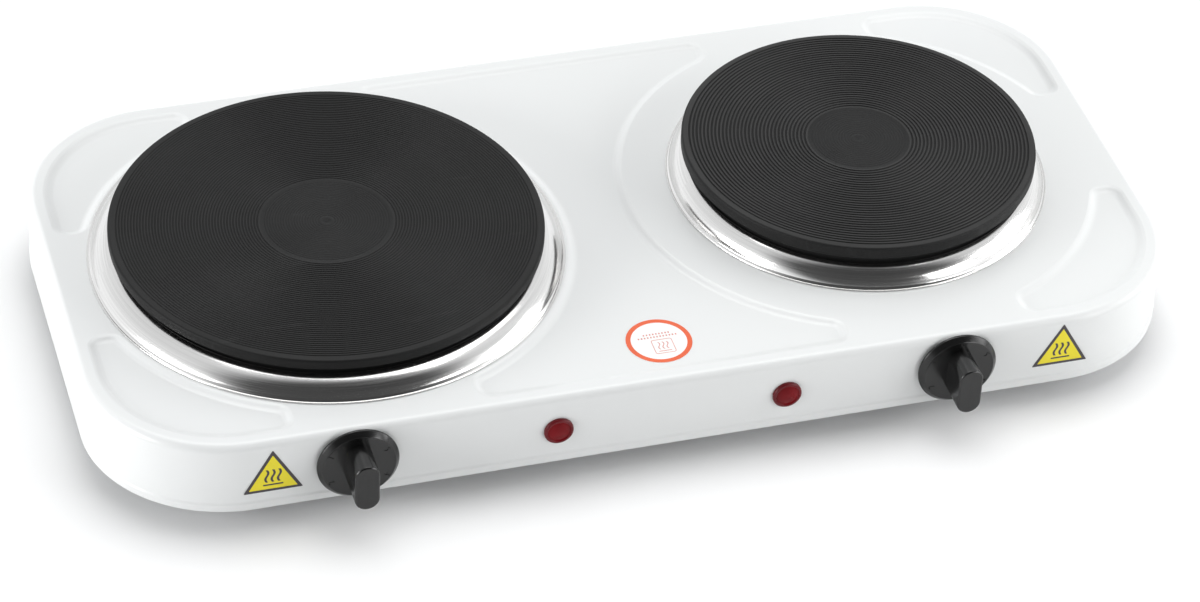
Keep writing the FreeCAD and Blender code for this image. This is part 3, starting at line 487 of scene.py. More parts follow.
FINISHES = {
    "casing_enamel": casing_enamel(),
    "galvanised_steel": galvanised_steel(),
    "plate_cement": mineral(
        "plate_cement", (0.50, 0.48, 0.43, 1), (0.68, 0.65, 0.59, 1), 700, 0.85, 0.2 * MM),
    "insulator_ceramic": mineral(
        "insulator_ceramic", (0.74, 0.71, 0.64, 1), (0.84, 0.82, 0.76, 1), 1200, 0.5, 0.04 * MM),
    "heating_wire": small_metal("heating_wire", grey(0.10, 0.05), grey(0.22, 0.03), 0.5),
    "screw_steel": small_metal("screw_steel", grey(0.52), grey(0.68), 0.3),
    "contact_brass": small_metal("contact_brass", (0.60, 0.43, 0.17, 1), (0.80, 0.62, 0.30, 1), 0.3),
    "knob_plastic": moulded("knob_plastic", grey(0.005), grey(0.008), 0.2, 900),
    "knob_face": moulded("knob_face", grey(0.008), grey(0.011), 0.45, 1100, 0.04 * MM),
    "lamp_red": moulded("lamp_red", (0.11, 0.001, 0.003, 1), (0.20, 0.001, 0.005, 1), 0.3, 700,
                        Specular_IOR_Level=0.15),
    "lamp_edge": moulded("lamp_edge", (0.09, 0.001, 0.004, 1), (0.14, 0.001, 0.006, 1), 0.3,
                         Specular_IOR_Level=0.3),
    "lamp_glass": moulded("lamp_glass", (0.90, 0.88, 0.85, 1), (0.95, 0.94, 0.92, 1), 0.12,
                          Transmission_Weight=0.85),
    "foot_rubber": moulded("foot_rubber", grey(0.012), grey(0.022), 0.72, 1600, 0.06 * MM),
    "sign_yellow": moulded("sign_yellow", (0.80, 0.68, 0.010, 1), (0.84, 0.72, 0.012, 1), 0.36),
    "sign_dark": moulded("sign_dark", (0.035, 0.028, 0.035, 1), (0.05, 0.04, 0.05, 1), 0.38),
    "disc_white": moulded("disc_white", (0.86, 0.86, 0.85, 1), (0.89, 0.89, 0.88, 1), 0.35),
    "disc_orange": moulded("disc_orange", (0.72, 0.10, 0.025, 1), (0.78, 0.12, 0.035, 1), 0.4),
    "disc_pink": moulded("disc_pink", (0.62, 0.22, 0.19, 1), (0.68, 0.26, 0.22, 1), 0.38),
    "lead_brown": moulded("lead_brown", (0.10, 0.035, 0.015, 1), (0.14, 0.05, 0.02, 1), 0.45),
    "lead_blue": moulded("lead_blue", (0.012, 0.06, 0.28, 1), (0.02, 0.08, 0.34, 1), 0.45),
    "lead_green": moulded("lead_green", (0.05, 0.24, 0.03, 1), (0.09, 0.30, 0.04, 1), 0.45),
}
for size in ("large", "small"):
    FINISHES["plate_iron_" + size] = plate_iron(
        "plate_iron_" + size, burner_centre(size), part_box(size + "_hot_plate")[1].z,
        {"large": 0.013, "small": 0.028}[size])
    FINISHES["rim_steel_" + size] = rim_steel("rim_steel_" + size, burner_centre(size))


def finish_cad_nodes():
    """The record's slots, carried to every part of the frame."""
    for part in frame["record"]["subparts"]:
        slot = part["material_slot"]
        if slot in ("plate_iron", "rim_steel"):
            slot += "_large" if part["node"].startswith("large") else "_small"
        elif slot == "sticker_film":
            slot = "sign_yellow"
        paint(nodes[part["node"]], FINISHES[slot])


# ---------------------------------------------------------------- casing
FIELD_INSET, FIELD_ARC, FIELD_GAP, FIELD_SIDE_GAP = 8.7 * MM, 104.5 * MM, 40 * MM, 36 * MM
FIELD_DEPTH, FIELD_SLOPE, FIELD_TIP = 1.6 * MM, 5.6 * MM, 5 * MM
MOUTH_TURN, MOUTH_REACH, MOUTH_RISE = 78, 4 * MM, 1.2 * MM
CASING_CORNER, CORNER_STEPS, EDGE_ROUND, WALL, FLANGE = 60 * MM, 40, 3.6 * MM, 0.8 * MM, 10 * MM
HEM_HEIGHT, HEM_STEP, HEM_SLOPE, HEM_ROUND, HEM_ZONE = 3.4 * MM, 0.35 * MM, 0.525 * MM, 0.6 * MM, 10 * MM
PLATE_HOLE_INSET, SPINDLE_HOLE, LAMP_HOLE, CORD_HOLE = 5.5 * MM, 5 * MM, 5.2 * MM, 6.5 * MM
TOP_CUT, WALL_CUT = 20 * MM, 10 * MM


def field_sizes(shrink):
    """Radii and distances from the burner's axis of a field whose outline is drawn in by shrink."""
    low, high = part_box("top_casing")
    burner = burner_centre("small")
    tip, inner, gap = FIELD_TIP - shrink, FIELD_ARC + shrink, FIELD_GAP + shrink
    reach = burner.x - (low.x + high.x) / 2
    far_x = (high.x - low.x) / 2 - FIELD_INSET - reach - shrink
    far_y = (high.y - low.y) / 2 - FIELD_INSET - shrink
    tip_y = sqrt((inner + tip) ** 2 - (gap + tip) ** 2)
    return tip, inner, gap, reach, far_x, far_y, tip_y, degrees(atan2(tip_y, gap + tip))


def corner_field(shrink):
    """Outline of a corner field from the burner's axis, in the quarter where x and y are positive."""
    tip, inner, gap, _, far_x, far_y, tip_y, tip_turn = field_sizes(shrink)
    side = FIELD_SIDE_GAP + shrink
    side_x = sqrt((inner + tip) ** 2 - (side + tip) ** 2)
    side_turn = degrees(atan2(side + tip, side_x))
    corner = CASING_CORNER - FIELD_INSET - shrink
    points = arc((0, 0), inner, tip_turn, side_turn, 18)[1:-1]
    points += arc((side_x, side + tip), tip, 180 + side_turn, 270, 6)
    points += arc((far_x - tip, side + tip), tip, 270, 360, 8)
    points += arc((far_x - corner, far_y - corner), corner, 0, 90, 24)
    points += arc((gap + tip, far_y - tip), tip, 90, 180, 8)
    return points + arc((gap + tip, tip_y), tip, 180, 180 + tip_turn, 6)


def middle_field(shrink):
    """Outline of the field between the burners, from the middle of the casing."""
    tip, inner, gap, reach, _, far_y, tip_y, tip_turn = field_sizes(shrink)
    edge = reach - gap - tip
    right = arc((edge, far_y - tip), tip, 90, 0, 8)
    right += arc((edge, tip_y), tip, 0, -tip_turn, 6)
    right += arc((reach, 0), inner, 180 - tip_turn, 180 + tip_turn, 48)[1:-1]
    right += arc((edge, -tip_y), tip, tip_turn, 0, 6)
    right += arc((edge, tip - far_y), tip, 0, -90, 8)
    return right + [(-x, y) for x, y in reversed(right)]


def punch(outline, centre, flip, top):
    """Punch for one field: its outline lofted up a soft slope, from the floor to above the casing."""
    bend = FIELD_SLOPE / 2
    steepest = 2 * degrees(atan2(FIELD_DEPTH, FIELD_SLOPE))
    radius = bend / sin(radians(steepest))
    foot = arc((bend, radius - FIELD_DEPTH), radius, 270, 270 - steepest, 5)
    mouth = arc((-bend, -radius), radius, 90 - steepest, MOUTH_TURN, 5)
    last = mouth[-1]
    levels = foot + mouth[1:] + [(last[0] - MOUTH_REACH, last[1] + MOUTH_RISE)]
    return loft("punch", [
        [Vector((flip[0] * x, flip[1] * y, top + height)) + centre for x, y in outline(shrink)]
        for shrink, height in levels])


def casing_block(low, high):
    """Solid block of the casing's outline, with its hem, its rounded top edge and its five fields."""
    centre, hem_top = (low + high) / 2, low.z + HEM_HEIGHT
    size = high - low
    clear_selection()
    bpy.ops.mesh.primitive_plane_add(size=1, location=(centre.x, centre.y, low.z))
    block = start("casing_shell")
    stretch(block.location, size.x, size.y)
    bpy.ops.mesh.bevel(affect="VERTICES", offset=CASING_CORNER, segments=CORNER_STEPS, profile=0.5)
    extrude(z=HEM_HEIGHT)
    pick("faces", lies_at("z", hem_top))
    extrude(z=HEM_SLOPE)
    extrude(z=size.z - HEM_HEIGHT - HEM_SLOPE)
    face_outwards()
    pick("verts", lambda vertex, place: (place @ vertex.co).z < hem_top + 0.1 * MM)
    stretch(centre, 1 + 2 * HEM_STEP / size.x, 1 + 2 * HEM_STEP / size.y)
    on_top = lies_at("z", high.z)
    pick("edges", lambda edge, place: on_top(edge, place) and edge.calc_face_angle(0) > 1)
    bpy.ops.mesh.bevel(offset=EDGE_ROUND, segments=8, profile=0.5)
    pick("edges", lambda edge, place: radians(15) < edge.calc_face_angle(0) < radians(60)
         and (place @ edge.verts[0].co).z < low.z + HEM_ZONE)
    bpy.ops.mesh.bevel(offset=HEM_ROUND, segments=3, profile=0.5)
    close(block)
    punches = [punch(middle_field, Vector((centre.x, centre.y, 0)), (1, 1), high.z)]
    for burner, x in (("large", -1), ("small", 1)):
        punches += [punch(corner_field, burner_centre(burner), (x, y), high.z) for y in (-1, 1)]
    combine(block, punches)
    return block


def casing_holes(low, high):
    """Cutters for the two plates, the two spindles, the two lamps and the cord."""
    cutters = []
    for size in ("large", "small"):
        inner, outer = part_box(size + "_plate_rim")
        burner = burner_centre(size)
        radius = (outer.x - inner.x) / 2 - PLATE_HOLE_INSET
        cutters.append(drill(Vector((burner.x, burner.y, high.z)), radius, TOP_CUT, 192))
    fittings = [(node + side, radius, low.y) for side in ("left", "right")
                for node, radius in (("thermostat_bush_", SPINDLE_HOLE), ("indicator_clip_", LAMP_HOLE))]
    for node, radius, wall in fittings + [("cord_gland", CORD_HOLE, high.y)]:
        spot = middle_of(node)
        cutters.append(drill(Vector((spot.x, wall, spot.z)), radius, WALL_CUT, 48, "Y"))
    return cutters


def press_casing():
    """Casing in one pressed sheet, open below inside a narrow flange, with all its holes."""
    low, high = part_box("top_casing")
    casing = casing_block(low, high)
    bpy.ops.object.mode_set(mode="EDIT")
    pick("faces", lies_at("z", low.z))
    bpy.ops.mesh.inset(thickness=FLANGE)
    bpy.ops.mesh.delete(type="FACE")
    close(casing)
    modify(casing, "SOLIDIFY", thickness=WALL, offset=-1)
    combine(casing, casing_holes(low, high))
    even_shading(casing)
    paint(casing, FINISHES["casing_enamel"])
    finished(casing, "root", "top_casing")


# ---------------------------------------------------------------- hot plates and rims
# In millimetres: height of the rim band; neck and foot set back from the plate's radius; round of the
# top edge; smooth band inside it; pitch and depth of the grooves; radius of the centre, how far it is
# sunk, and the pitch of its finer grooves.
PLATES = {
    "large": dict(edge=4.5, neck=3.5, foot=6, bevel=1.2, band=3, pitch=1.25, depth=0.25,
                  middle=28, drop=0.12, fine=1.1),
    "small": dict(edge=5.5, neck=4, foot=6.5, bevel=1.2, band=2.6, pitch=1.6, depth=0.4,
                  middle=22, drop=0.3, fine=1.25),
}
SEAT_HEIGHT, FOOT_WIDTH, RECESS, LOWER_CHAMFER, FINE_DEPTH = 4 * MM, 4.5 * MM, 1 * MM, 0.4 * MM, 0.12 * MM
STEP_LAND, STEP_WIDTH, FINE_START, FINE_GAP = 0.8 * MM, 0.5 * MM, 3 * MM, 1 * MM
GROOVE_TOP, GROOVE_FLOOR = 0.30, 0.14  # half widths of a groove as shares of the pitch
DIMPLE = ((2, 0), (1.2, 0.3), (0, 0.4))  # mm from the axis, and below the sunk centre


def grooves(inner, outer, pitch, depth, top):
    """Profile points of turned grooves from the outer radius inwards."""
    points = []
    count = int((outer - inner) / pitch)
    for step in range(count):
        middle = outer - (step + 0.5) * (outer - inner) / count
        points += [(middle + GROOVE_TOP * pitch, top), (middle + GROOVE_FLOOR * pitch, top - depth),
                   (middle - GROOVE_FLOOR * pitch, top - depth), (middle - GROOVE_TOP * pitch, top)]
    return points


def turn_plate(size):
    """Hot plate: annular foot, set-back neck, rim band, turned grooves and a sunk centre with a dimple."""
    shape = {name: value * MM for name, value in PLATES[size].items()}
    low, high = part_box(size + "_hot_plate")
    radius, top, base = (high.x - low.x) / 2, high.z, low.z
    band_low, seat, floor = top - shape["edge"], base + SEAT_HEIGHT, top - shape["drop"]
    foot, neck = radius - shape["foot"], radius - shape["neck"]
    middle, bend = shape["middle"], shape["bevel"]
    profile = [(0, base + RECESS), (foot - FOOT_WIDTH, base + RECESS), (foot - FOOT_WIDTH, base),
               (foot, base), (foot, seat), (neck, seat), (neck, band_low),
               (radius - LOWER_CHAMFER, band_low), (radius, band_low + LOWER_CHAMFER)]
    profile += arc((radius - bend, top - bend), bend, 0, 90, 5)
    profile += grooves(middle + STEP_LAND, radius - shape["band"], shape["pitch"], shape["depth"], top)
    profile += [(middle + STEP_WIDTH, top), (middle, floor)]
    profile += grooves(FINE_START, middle - FINE_GAP, shape["fine"], FINE_DEPTH, floor)
    profile += [(reach * MM, floor - depth * MM) for reach, depth in DIMPLE]
    plate = turned(size + "_plate_turned", profile, burner_centre(size), smooth=35)
    paint(plate, FINISHES["plate_iron_" + size])
    finished(plate, "root", size + "_hot_plate")


RIMS = {"large": dict(lip=1.4, sweep=15.5), "small": dict(lip=1.2, sweep=12)}
RIM_SHEET, RIM_ROLL, RIM_PLAY, LIP_LIFT = 0.6 * MM, 1 * MM, 0.6 * MM, 0.15 * MM
HEEL_BACK, HEEL_OUT, HEEL_ROUND = 0.2 * MM, 0.5 * MM, 2 * MM


def bulge(first, last, radius, steps):
    """Points of an arc of the given radius from first to last that bulges up and outwards."""
    first, last = Vector(first), Vector(last)
    chord = last - first
    side = Vector((chord.y, -chord.x)).normalized()
    if side.y < 0:
        side.negate()
    hub = (first + last) / 2 - side * sqrt(radius ** 2 - (chord.length / 2) ** 2)
    begin, end = (degrees(atan2(*reversed(point - hub))) for point in (first, last))
    return arc(hub, radius, begin, end, steps)


def spin_rim(size):
    """Polished overfall rim: small inner roll, long outer sweep and a thin lip with a rolled edge."""
    low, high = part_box(size + "_plate_rim")
    plate_low, plate_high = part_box(size + "_hot_plate")
    edge, crest, floor = (high.x - low.x) / 2, high.z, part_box("top_casing")[1].z
    inner = (plate_high.x - plate_low.x) / 2 - PLATES[size]["neck"] * MM + RIM_PLAY
    outer, sweep, sheet = edge - RIMS[size]["lip"] * MM, RIMS[size]["sweep"] * MM, RIM_SHEET
    toe, heel = (outer + HEEL_OUT, floor + sheet), (outer - HEEL_BACK, floor + 2 * sheet)
    roll_top, under_roll = (inner + RIM_ROLL, crest), (inner + RIM_ROLL, crest - sheet)
    profile = arc((edge - sheet / 2, floor + sheet / 2 + LIP_LIFT), sheet / 2, -90, 90, 6)
    profile += bulge(toe, heel, HEEL_ROUND, 3)
    profile += bulge(heel, roll_top, sweep, 24)
    profile += arc((inner + RIM_ROLL, crest - RIM_ROLL), RIM_ROLL, 90, 180, 6)[1:]
    profile += [(inner, low.z), (inner + sheet, low.z), (inner + sheet, crest - RIM_ROLL), under_roll]
    profile += bulge(under_roll, (outer - sheet, floor), sweep - sheet, 12)[1:]
    profile += [(edge - sheet / 2, floor + LIP_LIFT)]
    rim = turned(size + "_rim_polished", profile, burner_centre(size), steps=256, smooth=50)
    paint(rim, FINISHES["rim_steel_" + size])
    finished(rim, "root", size + "_plate_rim")


# ---------------------------------------------------------------- knobs
DIAL_NUMBERS, NUMBER_STEP = "012345", -pi / 3
NUMBER_RADIUS, TEXT_SIZE, ENGRAVING = 13.35 * MM, 3.726 * MM, 0.3 * MM
DIAL_DEPTH, DIAL_SINK, DIAL_EDGE = 3.2 * MM, 0.3 * MM, 2.1 * MM
# Skirt, in mm in from its radius and behind its front.
SKIRT = ((0.3, 3.2), (0, 2.9), (0, 2.1), (0.1, 1.85), (1.75, 0.15))
GRIP_WIDTH, GRIP_HEIGHT, GRIP_ROUND, GRIP_ROOT = 10.4 * MM, 22.6 * MM, 0.9 * MM, 1 * MM
FACING_FRONT = -0.98


def number_cutter(digit, turn, centre, face):
    """One engraved dial number, standing outwards from the middle of the dial."""
    clear_selection()
    bpy.ops.object.text_add()
    text = bpy.context.object.data
    text.body, text.size, text.extrude, text.resolution_u = digit, TEXT_SIZE, ENGRAVING, 6
    text.align_x = text.align_y = "CENTER"
    bpy.ops.object.convert(target="MESH")
    cutter = bpy.context.object
    spin = Quaternion((0, 1, 0), turn)
    cutter.rotation_mode = "QUATERNION"
    cutter.rotation_quaternion = spin @ Quaternion((1, 0, 0), pi / 2)
    cutter.location = Vector((centre.x, face, centre.z)) + spin @ Vector((0, 0, NUMBER_RADIUS))
    bpy.ops.object.transform_apply(location=True, rotation=True, scale=True)
    bpy.ops.object.mode_set(mode="EDIT")
    face_outwards()
    bpy.ops.object.mode_set(mode="OBJECT")
    return cutter


def mould_grip(centre, root, tip):
    """Straight grip with rounded ends and a soft edge round its front."""
    clear_selection()
    bpy.ops.mesh.primitive_plane_add(size=1, location=(centre.x, root, centre.z), rotation=(pi / 2, 0, 0))
    grip = start("grip")
    stretch(grip.location, GRIP_WIDTH, 1, GRIP_HEIGHT)
    bpy.ops.mesh.bevel(affect="VERTICES", offset=GRIP_WIDTH / 2 - SLACK, segments=14, profile=0.5)
    extrude(y=tip - root)
    face_outwards()
    pick("edges", lies_at("y", tip))
    bpy.ops.mesh.bevel(offset=GRIP_ROUND, segments=5, profile=0.5)
    return close(grip, 35)


def mould_knob():
    """Left knob: dial skirt with engraved numbers and a straight grip whose front is matt from wear."""
    low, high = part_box("knob_left")
    centre, tip, front, radius = (low + high) / 2, low.y, high.y - DIAL_DEPTH, (high.x - low.x) / 2
    face = front + DIAL_SINK
    profile = [(0, high.y)] + [(radius - inset * MM, front + depth * MM) for inset, depth in SKIRT]
    profile += arc((radius - DIAL_EDGE, face), DIAL_SINK, -40, -110, 4)
    profile += [(radius - DIAL_EDGE - 2 * DIAL_SINK, face), (0, face)]
    knob = turned("knob_dial_left", profile, Vector((centre.x, 0, centre.z)), "Y", 128, smooth=35)
    combine(knob, [mould_grip(centre, front + GRIP_ROOT, tip)], "UNION")
    combine(knob, [number_cutter(digit, index * NUMBER_STEP, centre, face)
                   for index, digit in enumerate(DIAL_NUMBERS)])
    even_shading(knob, 35)
    paint(knob, FINISHES["knob_plastic"], FINISHES["knob_face"])
    for facet in knob.data.polygons:
        facet.material_index = int(facet.center.y < tip + 0.1 * MM and facet.normal.y < FACING_FRONT)
    return knob


# ---------------------------------------------------------------- indicator lamps
TUBE_RADIUS, TUBE_LENGTH, LENS_PLAY = 4.9 * MM, 4 * MM, 0.02 * MM
LENS_ROUND, LENS_FRONT, MOAT_DEPTH = 0.7 * MM, 1.5 * MM, 1.15 * MM
MOAT = ((1.2, 1.45), (1.5, 1.15))  # mm in from the radius, out from the wall
CROWN_INSET, CROWN_STEPS, RIPPLE, LENS_BAND = 1.7 * MM, 12, 0.07 * MM, 1.35 * MM


def mould_lens():
    """Left lens: raised rim, a moat and a low dome with rings pressed into it."""
    low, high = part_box("indicator_lens_left")
    centre, radius, wall = (low + high) / 2, (high.x - low.x) / 2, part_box("top_casing")[0].y
    profile = [(0, TUBE_LENGTH), (TUBE_RADIUS, TUBE_LENGTH), (TUBE_RADIUS, -LENS_PLAY),
               (radius, -LENS_PLAY)]
    profile += arc((radius - LENS_ROUND, LENS_ROUND - LENS_FRONT), LENS_ROUND, 0, -90, 6)
    profile += [(radius - inset * MM, -height * MM) for inset, height in MOAT]
    for step in range(CROWN_STEPS + 1):
        share = 1 - step / CROWN_STEPS
        height = MOAT_DEPTH + (wall - low.y - MOAT_DEPTH) * (1 - share ** 2) - RIPPLE * (step % 2)
        profile.append(((radius - CROWN_INSET) * share, -height))
    lens = turned("lamp_lens_left", profile, Vector((centre.x, wall, centre.z)), "Y", 96, smooth=25)
    paint(lens, FINISHES["lamp_red"], FINISHES["lamp_edge"])
    for facet in lens.data.polygons:
        away = Vector((facet.center.x - centre.x, 0, facet.center.z - centre.z)).length
        facet.material_index = int(away > radius - LENS_BAND)
    return lens


# ---------------------------------------------------------------- stickers
FILM, LAYER = 0.12 * MM, 0.04 * MM
SIGN_HALF, SIGN_HEIGHT, SIGN_LIFT, SIGN_CORNER = 12.4 * MM, 21.5 * MM, 1 * MM, 0.5 * MM
BORDER_FOOT, BORDER_SIDE, BORDER_HEIGHT, FIELD_CORNER = 1.3 * MM, 2.25 * MM, 3.9 * MM, 0.3 * MM
DISC_RADIUS, DISC_SHIFT, RING_WIDTH, MARK_LINE = 14 * MM, 2 * MM, 2.1 * MM, 0.28 * MM
MARK_SIZE, MARK_CORNER, MARK_PLACE = 9 * MM, 1 * MM, Vector((1 * MM, -3.6 * MM, 0))
DASH_TALL, DASH_WIDE, DASH_PITCH = 0.9 * MM, 0.6 * MM, 1.35 * MM
DASH_ROWS = ((4.6 * MM, 9), (2.8 * MM, 13))  # place and count
SIGN_STROKES = dict(gap=2.6 * MM, length=6.6 * MM, width=1 * MM, sway=0.6 * MM)
SIGN_BAR, SIGN_STROKES_UP, SIGN_BAR_UP = dict(length=0.75 * MM, width=8.4 * MM), 8.2 * MM, 3.5 * MM
MARK_STROKES = dict(gap=1.8 * MM, length=4.6 * MM, width=0.4 * MM, sway=0.5 * MM)
MARK_BAR, MARK_STROKES_UP, MARK_BAR_DOWN = dict(length=0.35 * MM, width=5.6 * MM), 0.5 * MM, 3 * MM


def sheet_triangle(name, foot, half, height, corner, thickness):
    """Upright triangular film on a wall that faces -Y, with rounded corners."""
    clear_selection()
    bpy.ops.mesh.primitive_circle_add(
        vertices=3, radius=1, fill_type="NGON", location=(foot.x, foot.y, foot.z + height / 3),
        rotation=(pi / 2, 0, 0))
    piece = start(name)
    stretch(piece.location, half / (sqrt(3) / 2), 1, height / 1.5)
    bpy.ops.mesh.bevel(affect="VERTICES", offset=corner, segments=5, profile=0.5)
    extrude(y=-thickness)
    face_outwards()
    return close(piece)


def stroke(spot, length, width, sway=0.0, upright=False):
    """A narrow printed strip, swung from side to side along its length, lying flat or on a wall."""
    clear_selection()
    bpy.ops.mesh.primitive_grid_add(x_subdivisions=1, y_subdivisions=24, size=1)
    piece = start("stroke")
    stretch(piece.location, width, length)
    extrude(z=LAYER)
    face_outwards()
    bpy.ops.object.mode_set(mode="OBJECT")
    for vertex in piece.data.vertices:
        vertex.co.x += sway * sin(2 * pi * vertex.co.y / length)
    if upright:
        piece.rotation_euler = (pi / 2, 0, 0)
    piece.location = spot
    bpy.ops.object.mode_set(mode="EDIT")
    return close(piece)


def heat_strokes(spot, gap, length, width, sway, upright=False):
    """Three wavy strokes side by side, the middle one at spot."""
    first = stroke(spot - Vector((gap, 0, 0)), length, width, sway, upright)
    return [first] + [copy_of(first, "stroke", Vector((step * gap, 0, 0))) for step in (1, 2)]


def gather(name, pieces):
    """Joins loose layers of one print into a single piece."""
    clear_selection()
    for piece in pieces:
        piece.select_set(True)
    bpy.context.view_layer.objects.active = pieces[0]
    bpy.ops.object.join()
    pieces[0].name = name
    pieces[0].data.name = name
    return pieces[0]


def print_signs(low, high):
    """Yellow triangles with a dark border and three heat strokes over a bar, one at each end."""
    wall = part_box("top_casing")[0].y
    foot = Vector((low.x + SIGN_HALF, wall, low.z))
    border = sheet_triangle("sign_border_left", foot, SIGN_HALF, SIGN_HEIGHT, SIGN_CORNER, FILM)
    paint(border, FINISHES["sign_dark"])
    field = sheet_triangle("sign_field_left", foot + Vector((0, -FILM, BORDER_FOOT)),
                           SIGN_HALF - BORDER_SIDE, SIGN_HEIGHT - BORDER_HEIGHT, FIELD_CORNER, LAYER)
    paint(field, FINISHES["sign_yellow"])
    front = foot - Vector((0, FILM + LAYER, 0))
    strokes = heat_strokes(front + Vector((0, 0, SIGN_STROKES_UP)), upright=True, **SIGN_STROKES)
    strokes.append(stroke(front + Vector((0, 0, SIGN_BAR_UP)), upright=True, **SIGN_BAR))
    marks = gather("sign_strokes_left", strokes)
    paint(marks, FINISHES["sign_dark"])
    shift = Vector((high.x - low.x - 2 * SIGN_HALF, 0, SIGN_LIFT))
    lefts = [border, field, marks]
    return lefts + [copy_of(piece, piece.name.replace("left", "right"), shift) for piece in lefts]


def print_disc(centre):
    """White disc with an orange ring, a small square frame with heat strokes, and dashes over it."""
    film_edge = [(0, 0), (DISC_RADIUS, 0), (DISC_RADIUS, FILM), (0, FILM)]
    film = turned("disc_film", film_edge, centre, steps=96)
    paint(film, FINISHES["disc_white"])
    top, inner = centre + Vector((0, 0, FILM)), DISC_RADIUS - RING_WIDTH
    ring_edge = [(inner, 0), (DISC_RADIUS, 0), (DISC_RADIUS, LAYER), (inner, LAYER), (inner, 0)]
    ring = turned("disc_ring", ring_edge, top, steps=96)
    paint(ring, FINISHES["disc_orange"])
    clear_selection()
    bpy.ops.mesh.primitive_plane_add(size=MARK_SIZE, location=top + MARK_PLACE)
    square = start("disc_frame")
    bpy.ops.mesh.bevel(affect="VERTICES", offset=MARK_CORNER, segments=5, profile=0.5)
    bpy.ops.mesh.inset(thickness=MARK_LINE)
    bpy.ops.mesh.delete(type="FACE")
    bpy.ops.mesh.select_all(action="SELECT")
    extrude(z=LAYER)
    face_outwards()
    prints = [close(square)]
    spot = top + MARK_PLACE
    prints += heat_strokes(spot + Vector((0, MARK_STROKES_UP, 0)), **MARK_STROKES)
    prints.append(stroke(spot - Vector((0, MARK_BAR_DOWN, 0)), **MARK_BAR))
    for place, count in DASH_ROWS:
        first = stroke(top + Vector(((1 - count) / 2 * DASH_PITCH, place, 0)), DASH_TALL, DASH_WIDE)
        prints += [first] + [copy_of(first, "stroke", Vector((step * DASH_PITCH, 0, 0)))
                             for step in range(1, count)]
    marks = gather("disc_marks", prints)
    paint(marks, FINISHES["disc_pink"])
    return [film, ring, marks]


def print_stickers():
    low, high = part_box("stickers")
    disc = Vector((middle_of("top_casing").x + DISC_SHIFT, high.y - DISC_RADIUS,
                   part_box("top_casing")[1].z - FIELD_DEPTH))
    for piece in print_signs(low, high) + print_disc(disc):
        finished(piece, "root", "stickers")


# ---------------------------------------------------------------- light, floor and camera
def soft_box(name, place, aim, width, height, power):
    """Rectangular area light at place, turned towards aim."""
    data = bpy.data.lights.new(name, "AREA")
    data.shape = "RECTANGLE"
    data.size, data.size_y, data.energy = width, height, power
    lamp = bpy.data.objects.new(name, data)
    bpy.context.scene.collection.objects.link(lamp)
    lamp.location = place
    lamp.rotation_euler = (Vector(aim) - Vector(place)).to_track_quat("-Z", "Y").to_euler()


DIM_SIDE, DIM_EDGE, DIM_CORE, DIMMEST = (-0.08, -0.77, 0.63), 0.54, 0.82, 0.08
SKY_TINT, SKY_LOW, SKY_HIGH = (0.975, 0.99, 1.0, 1), 1.12, 0.76
# Place, aim, width and height in metres, and power in watts.
SOFT_BOXES = {
    "overhead": ((0.20, 0.40, 1.5), (0.05, 0.05, 0), 1.5, 1.0, 10.8),
    "left_box": ((-1.6, -0.25, 0.38), (-0.2, 0, 0.03), 0.9, 0.7, 16),
    "right_box": ((1.5, -0.25, 0.60), (0.1, 0, 0.03), 0.9, 0.8, 8),
    "front_right_box": ((0.95, -1.05, 0.50), (0.1, -0.1, 0.03), 0.6, 0.5, 5),
}


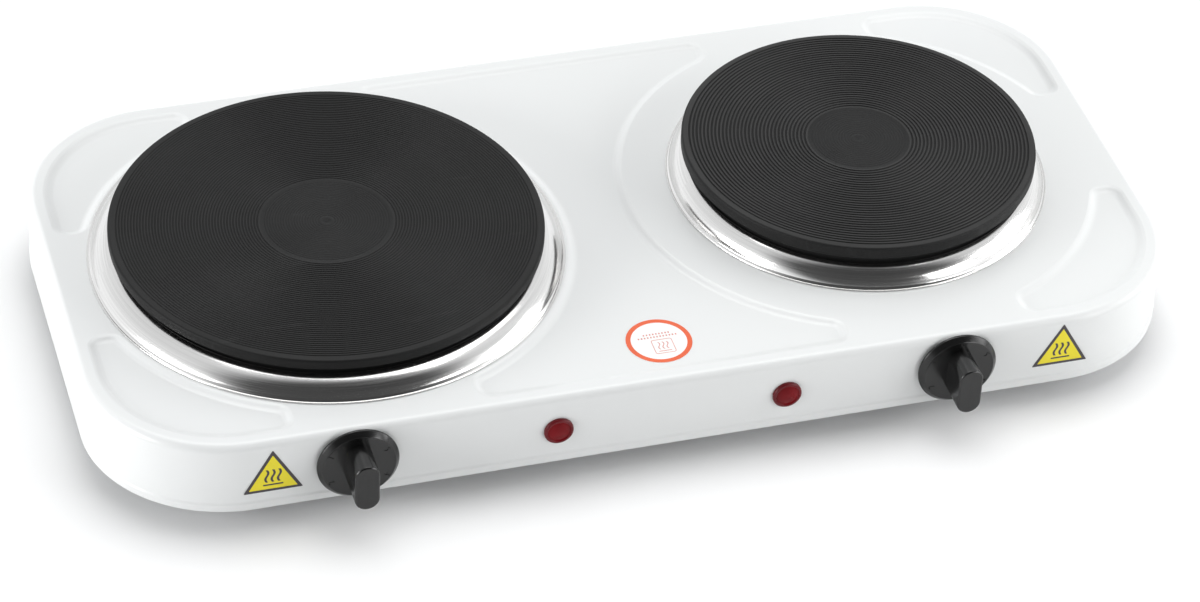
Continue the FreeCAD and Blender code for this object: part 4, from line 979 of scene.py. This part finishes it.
def light_studio():
    """White studio: bright all round, dim in front and above the hob, with four soft boxes."""
    scene = bpy.context.scene
    scene.view_settings.view_transform = "Standard"
    world = bpy.data.worlds.new("studio")
    scene.world = world
    world.use_nodes = True
    tree = world.node_tree
    way = tree.nodes.new("ShaderNodeTexCoord").outputs["Generated"]
    toward = wire(tree, "ShaderNodeVectorMath", _0=way, _1=DIM_SIDE)
    toward.operation = "DOT_PRODUCT"
    dim = spread(tree, toward.outputs["Value"], DIM_EDGE, DIM_CORE, 1, DIMMEST)
    height = wire(tree, "ShaderNodeSeparateXYZ", Vector=way).outputs["Z"]
    strength = calculate(tree, "MULTIPLY", dim, spread(tree, height, 0, 0.9, SKY_LOW, SKY_HIGH))
    sky = tree.nodes["Background"]
    sky.inputs["Color"].default_value = SKY_TINT
    tree.links.new(strength, sky.inputs["Strength"])
    for name, layout in SOFT_BOXES.items():
        soft_box(name, *layout)


def lay_floor():
    clear_selection()
    bpy.ops.mesh.primitive_plane_add(size=8, location=(0, 0, 0))
    floor = close(start("studio_floor"))
    finish = Finish("studio_paper", Specular_IOR_Level=0.1)
    finish.feed("Base Color", blend(finish.tree, finish.patches(1.5, 0, 1), grey(0.915), grey(0.925)))
    finish.feed("Roughness", finish.patches(4, 0.85, 0.95))
    paint(floor, finish.material)


CAMERA_TURN, CAMERA_RISE, CAMERA_LEAN = radians(-18.071), radians(39.297), radians(3.057)
CAMERA_TARGET, CAMERA_DISTANCE = Vector((-0.01527, -0.05258, 0.044)), 1.77342
LENS, SENSOR = 126.355, 36


def set_camera():
    """Long lens, from in front, left and above, leaning a little."""
    level = cos(CAMERA_RISE)
    back = Vector((sin(CAMERA_TURN) * level, -cos(CAMERA_TURN) * level, sin(CAMERA_RISE)))
    data = bpy.data.cameras.new("camera")
    data.lens, data.sensor_width = LENS, SENSOR
    camera = bpy.data.objects.new("camera", data)
    bpy.context.scene.collection.objects.link(camera)
    camera.location = CAMERA_TARGET + back * CAMERA_DISTANCE
    camera.rotation_mode = "QUATERNION"
    camera.rotation_quaternion = back.to_track_quat("Z", "Y") @ Quaternion((0, 0, 1), CAMERA_LEAN)
    bpy.context.scene.camera = camera


# ---------------------------------------------------------------- the whole hob
finish_cad_nodes()
press_casing()
for size in ("large", "small"):
    turn_plate(size)
    spin_rim(size)
knob, lens = mould_knob(), mould_lens()
pair_up(knob, "knob_{}", "knob_unit_{}")
pair_up(lens, "indicator_lens_{}", "root")
print_stickers()
lay_floor()
light_studio()
set_camera()
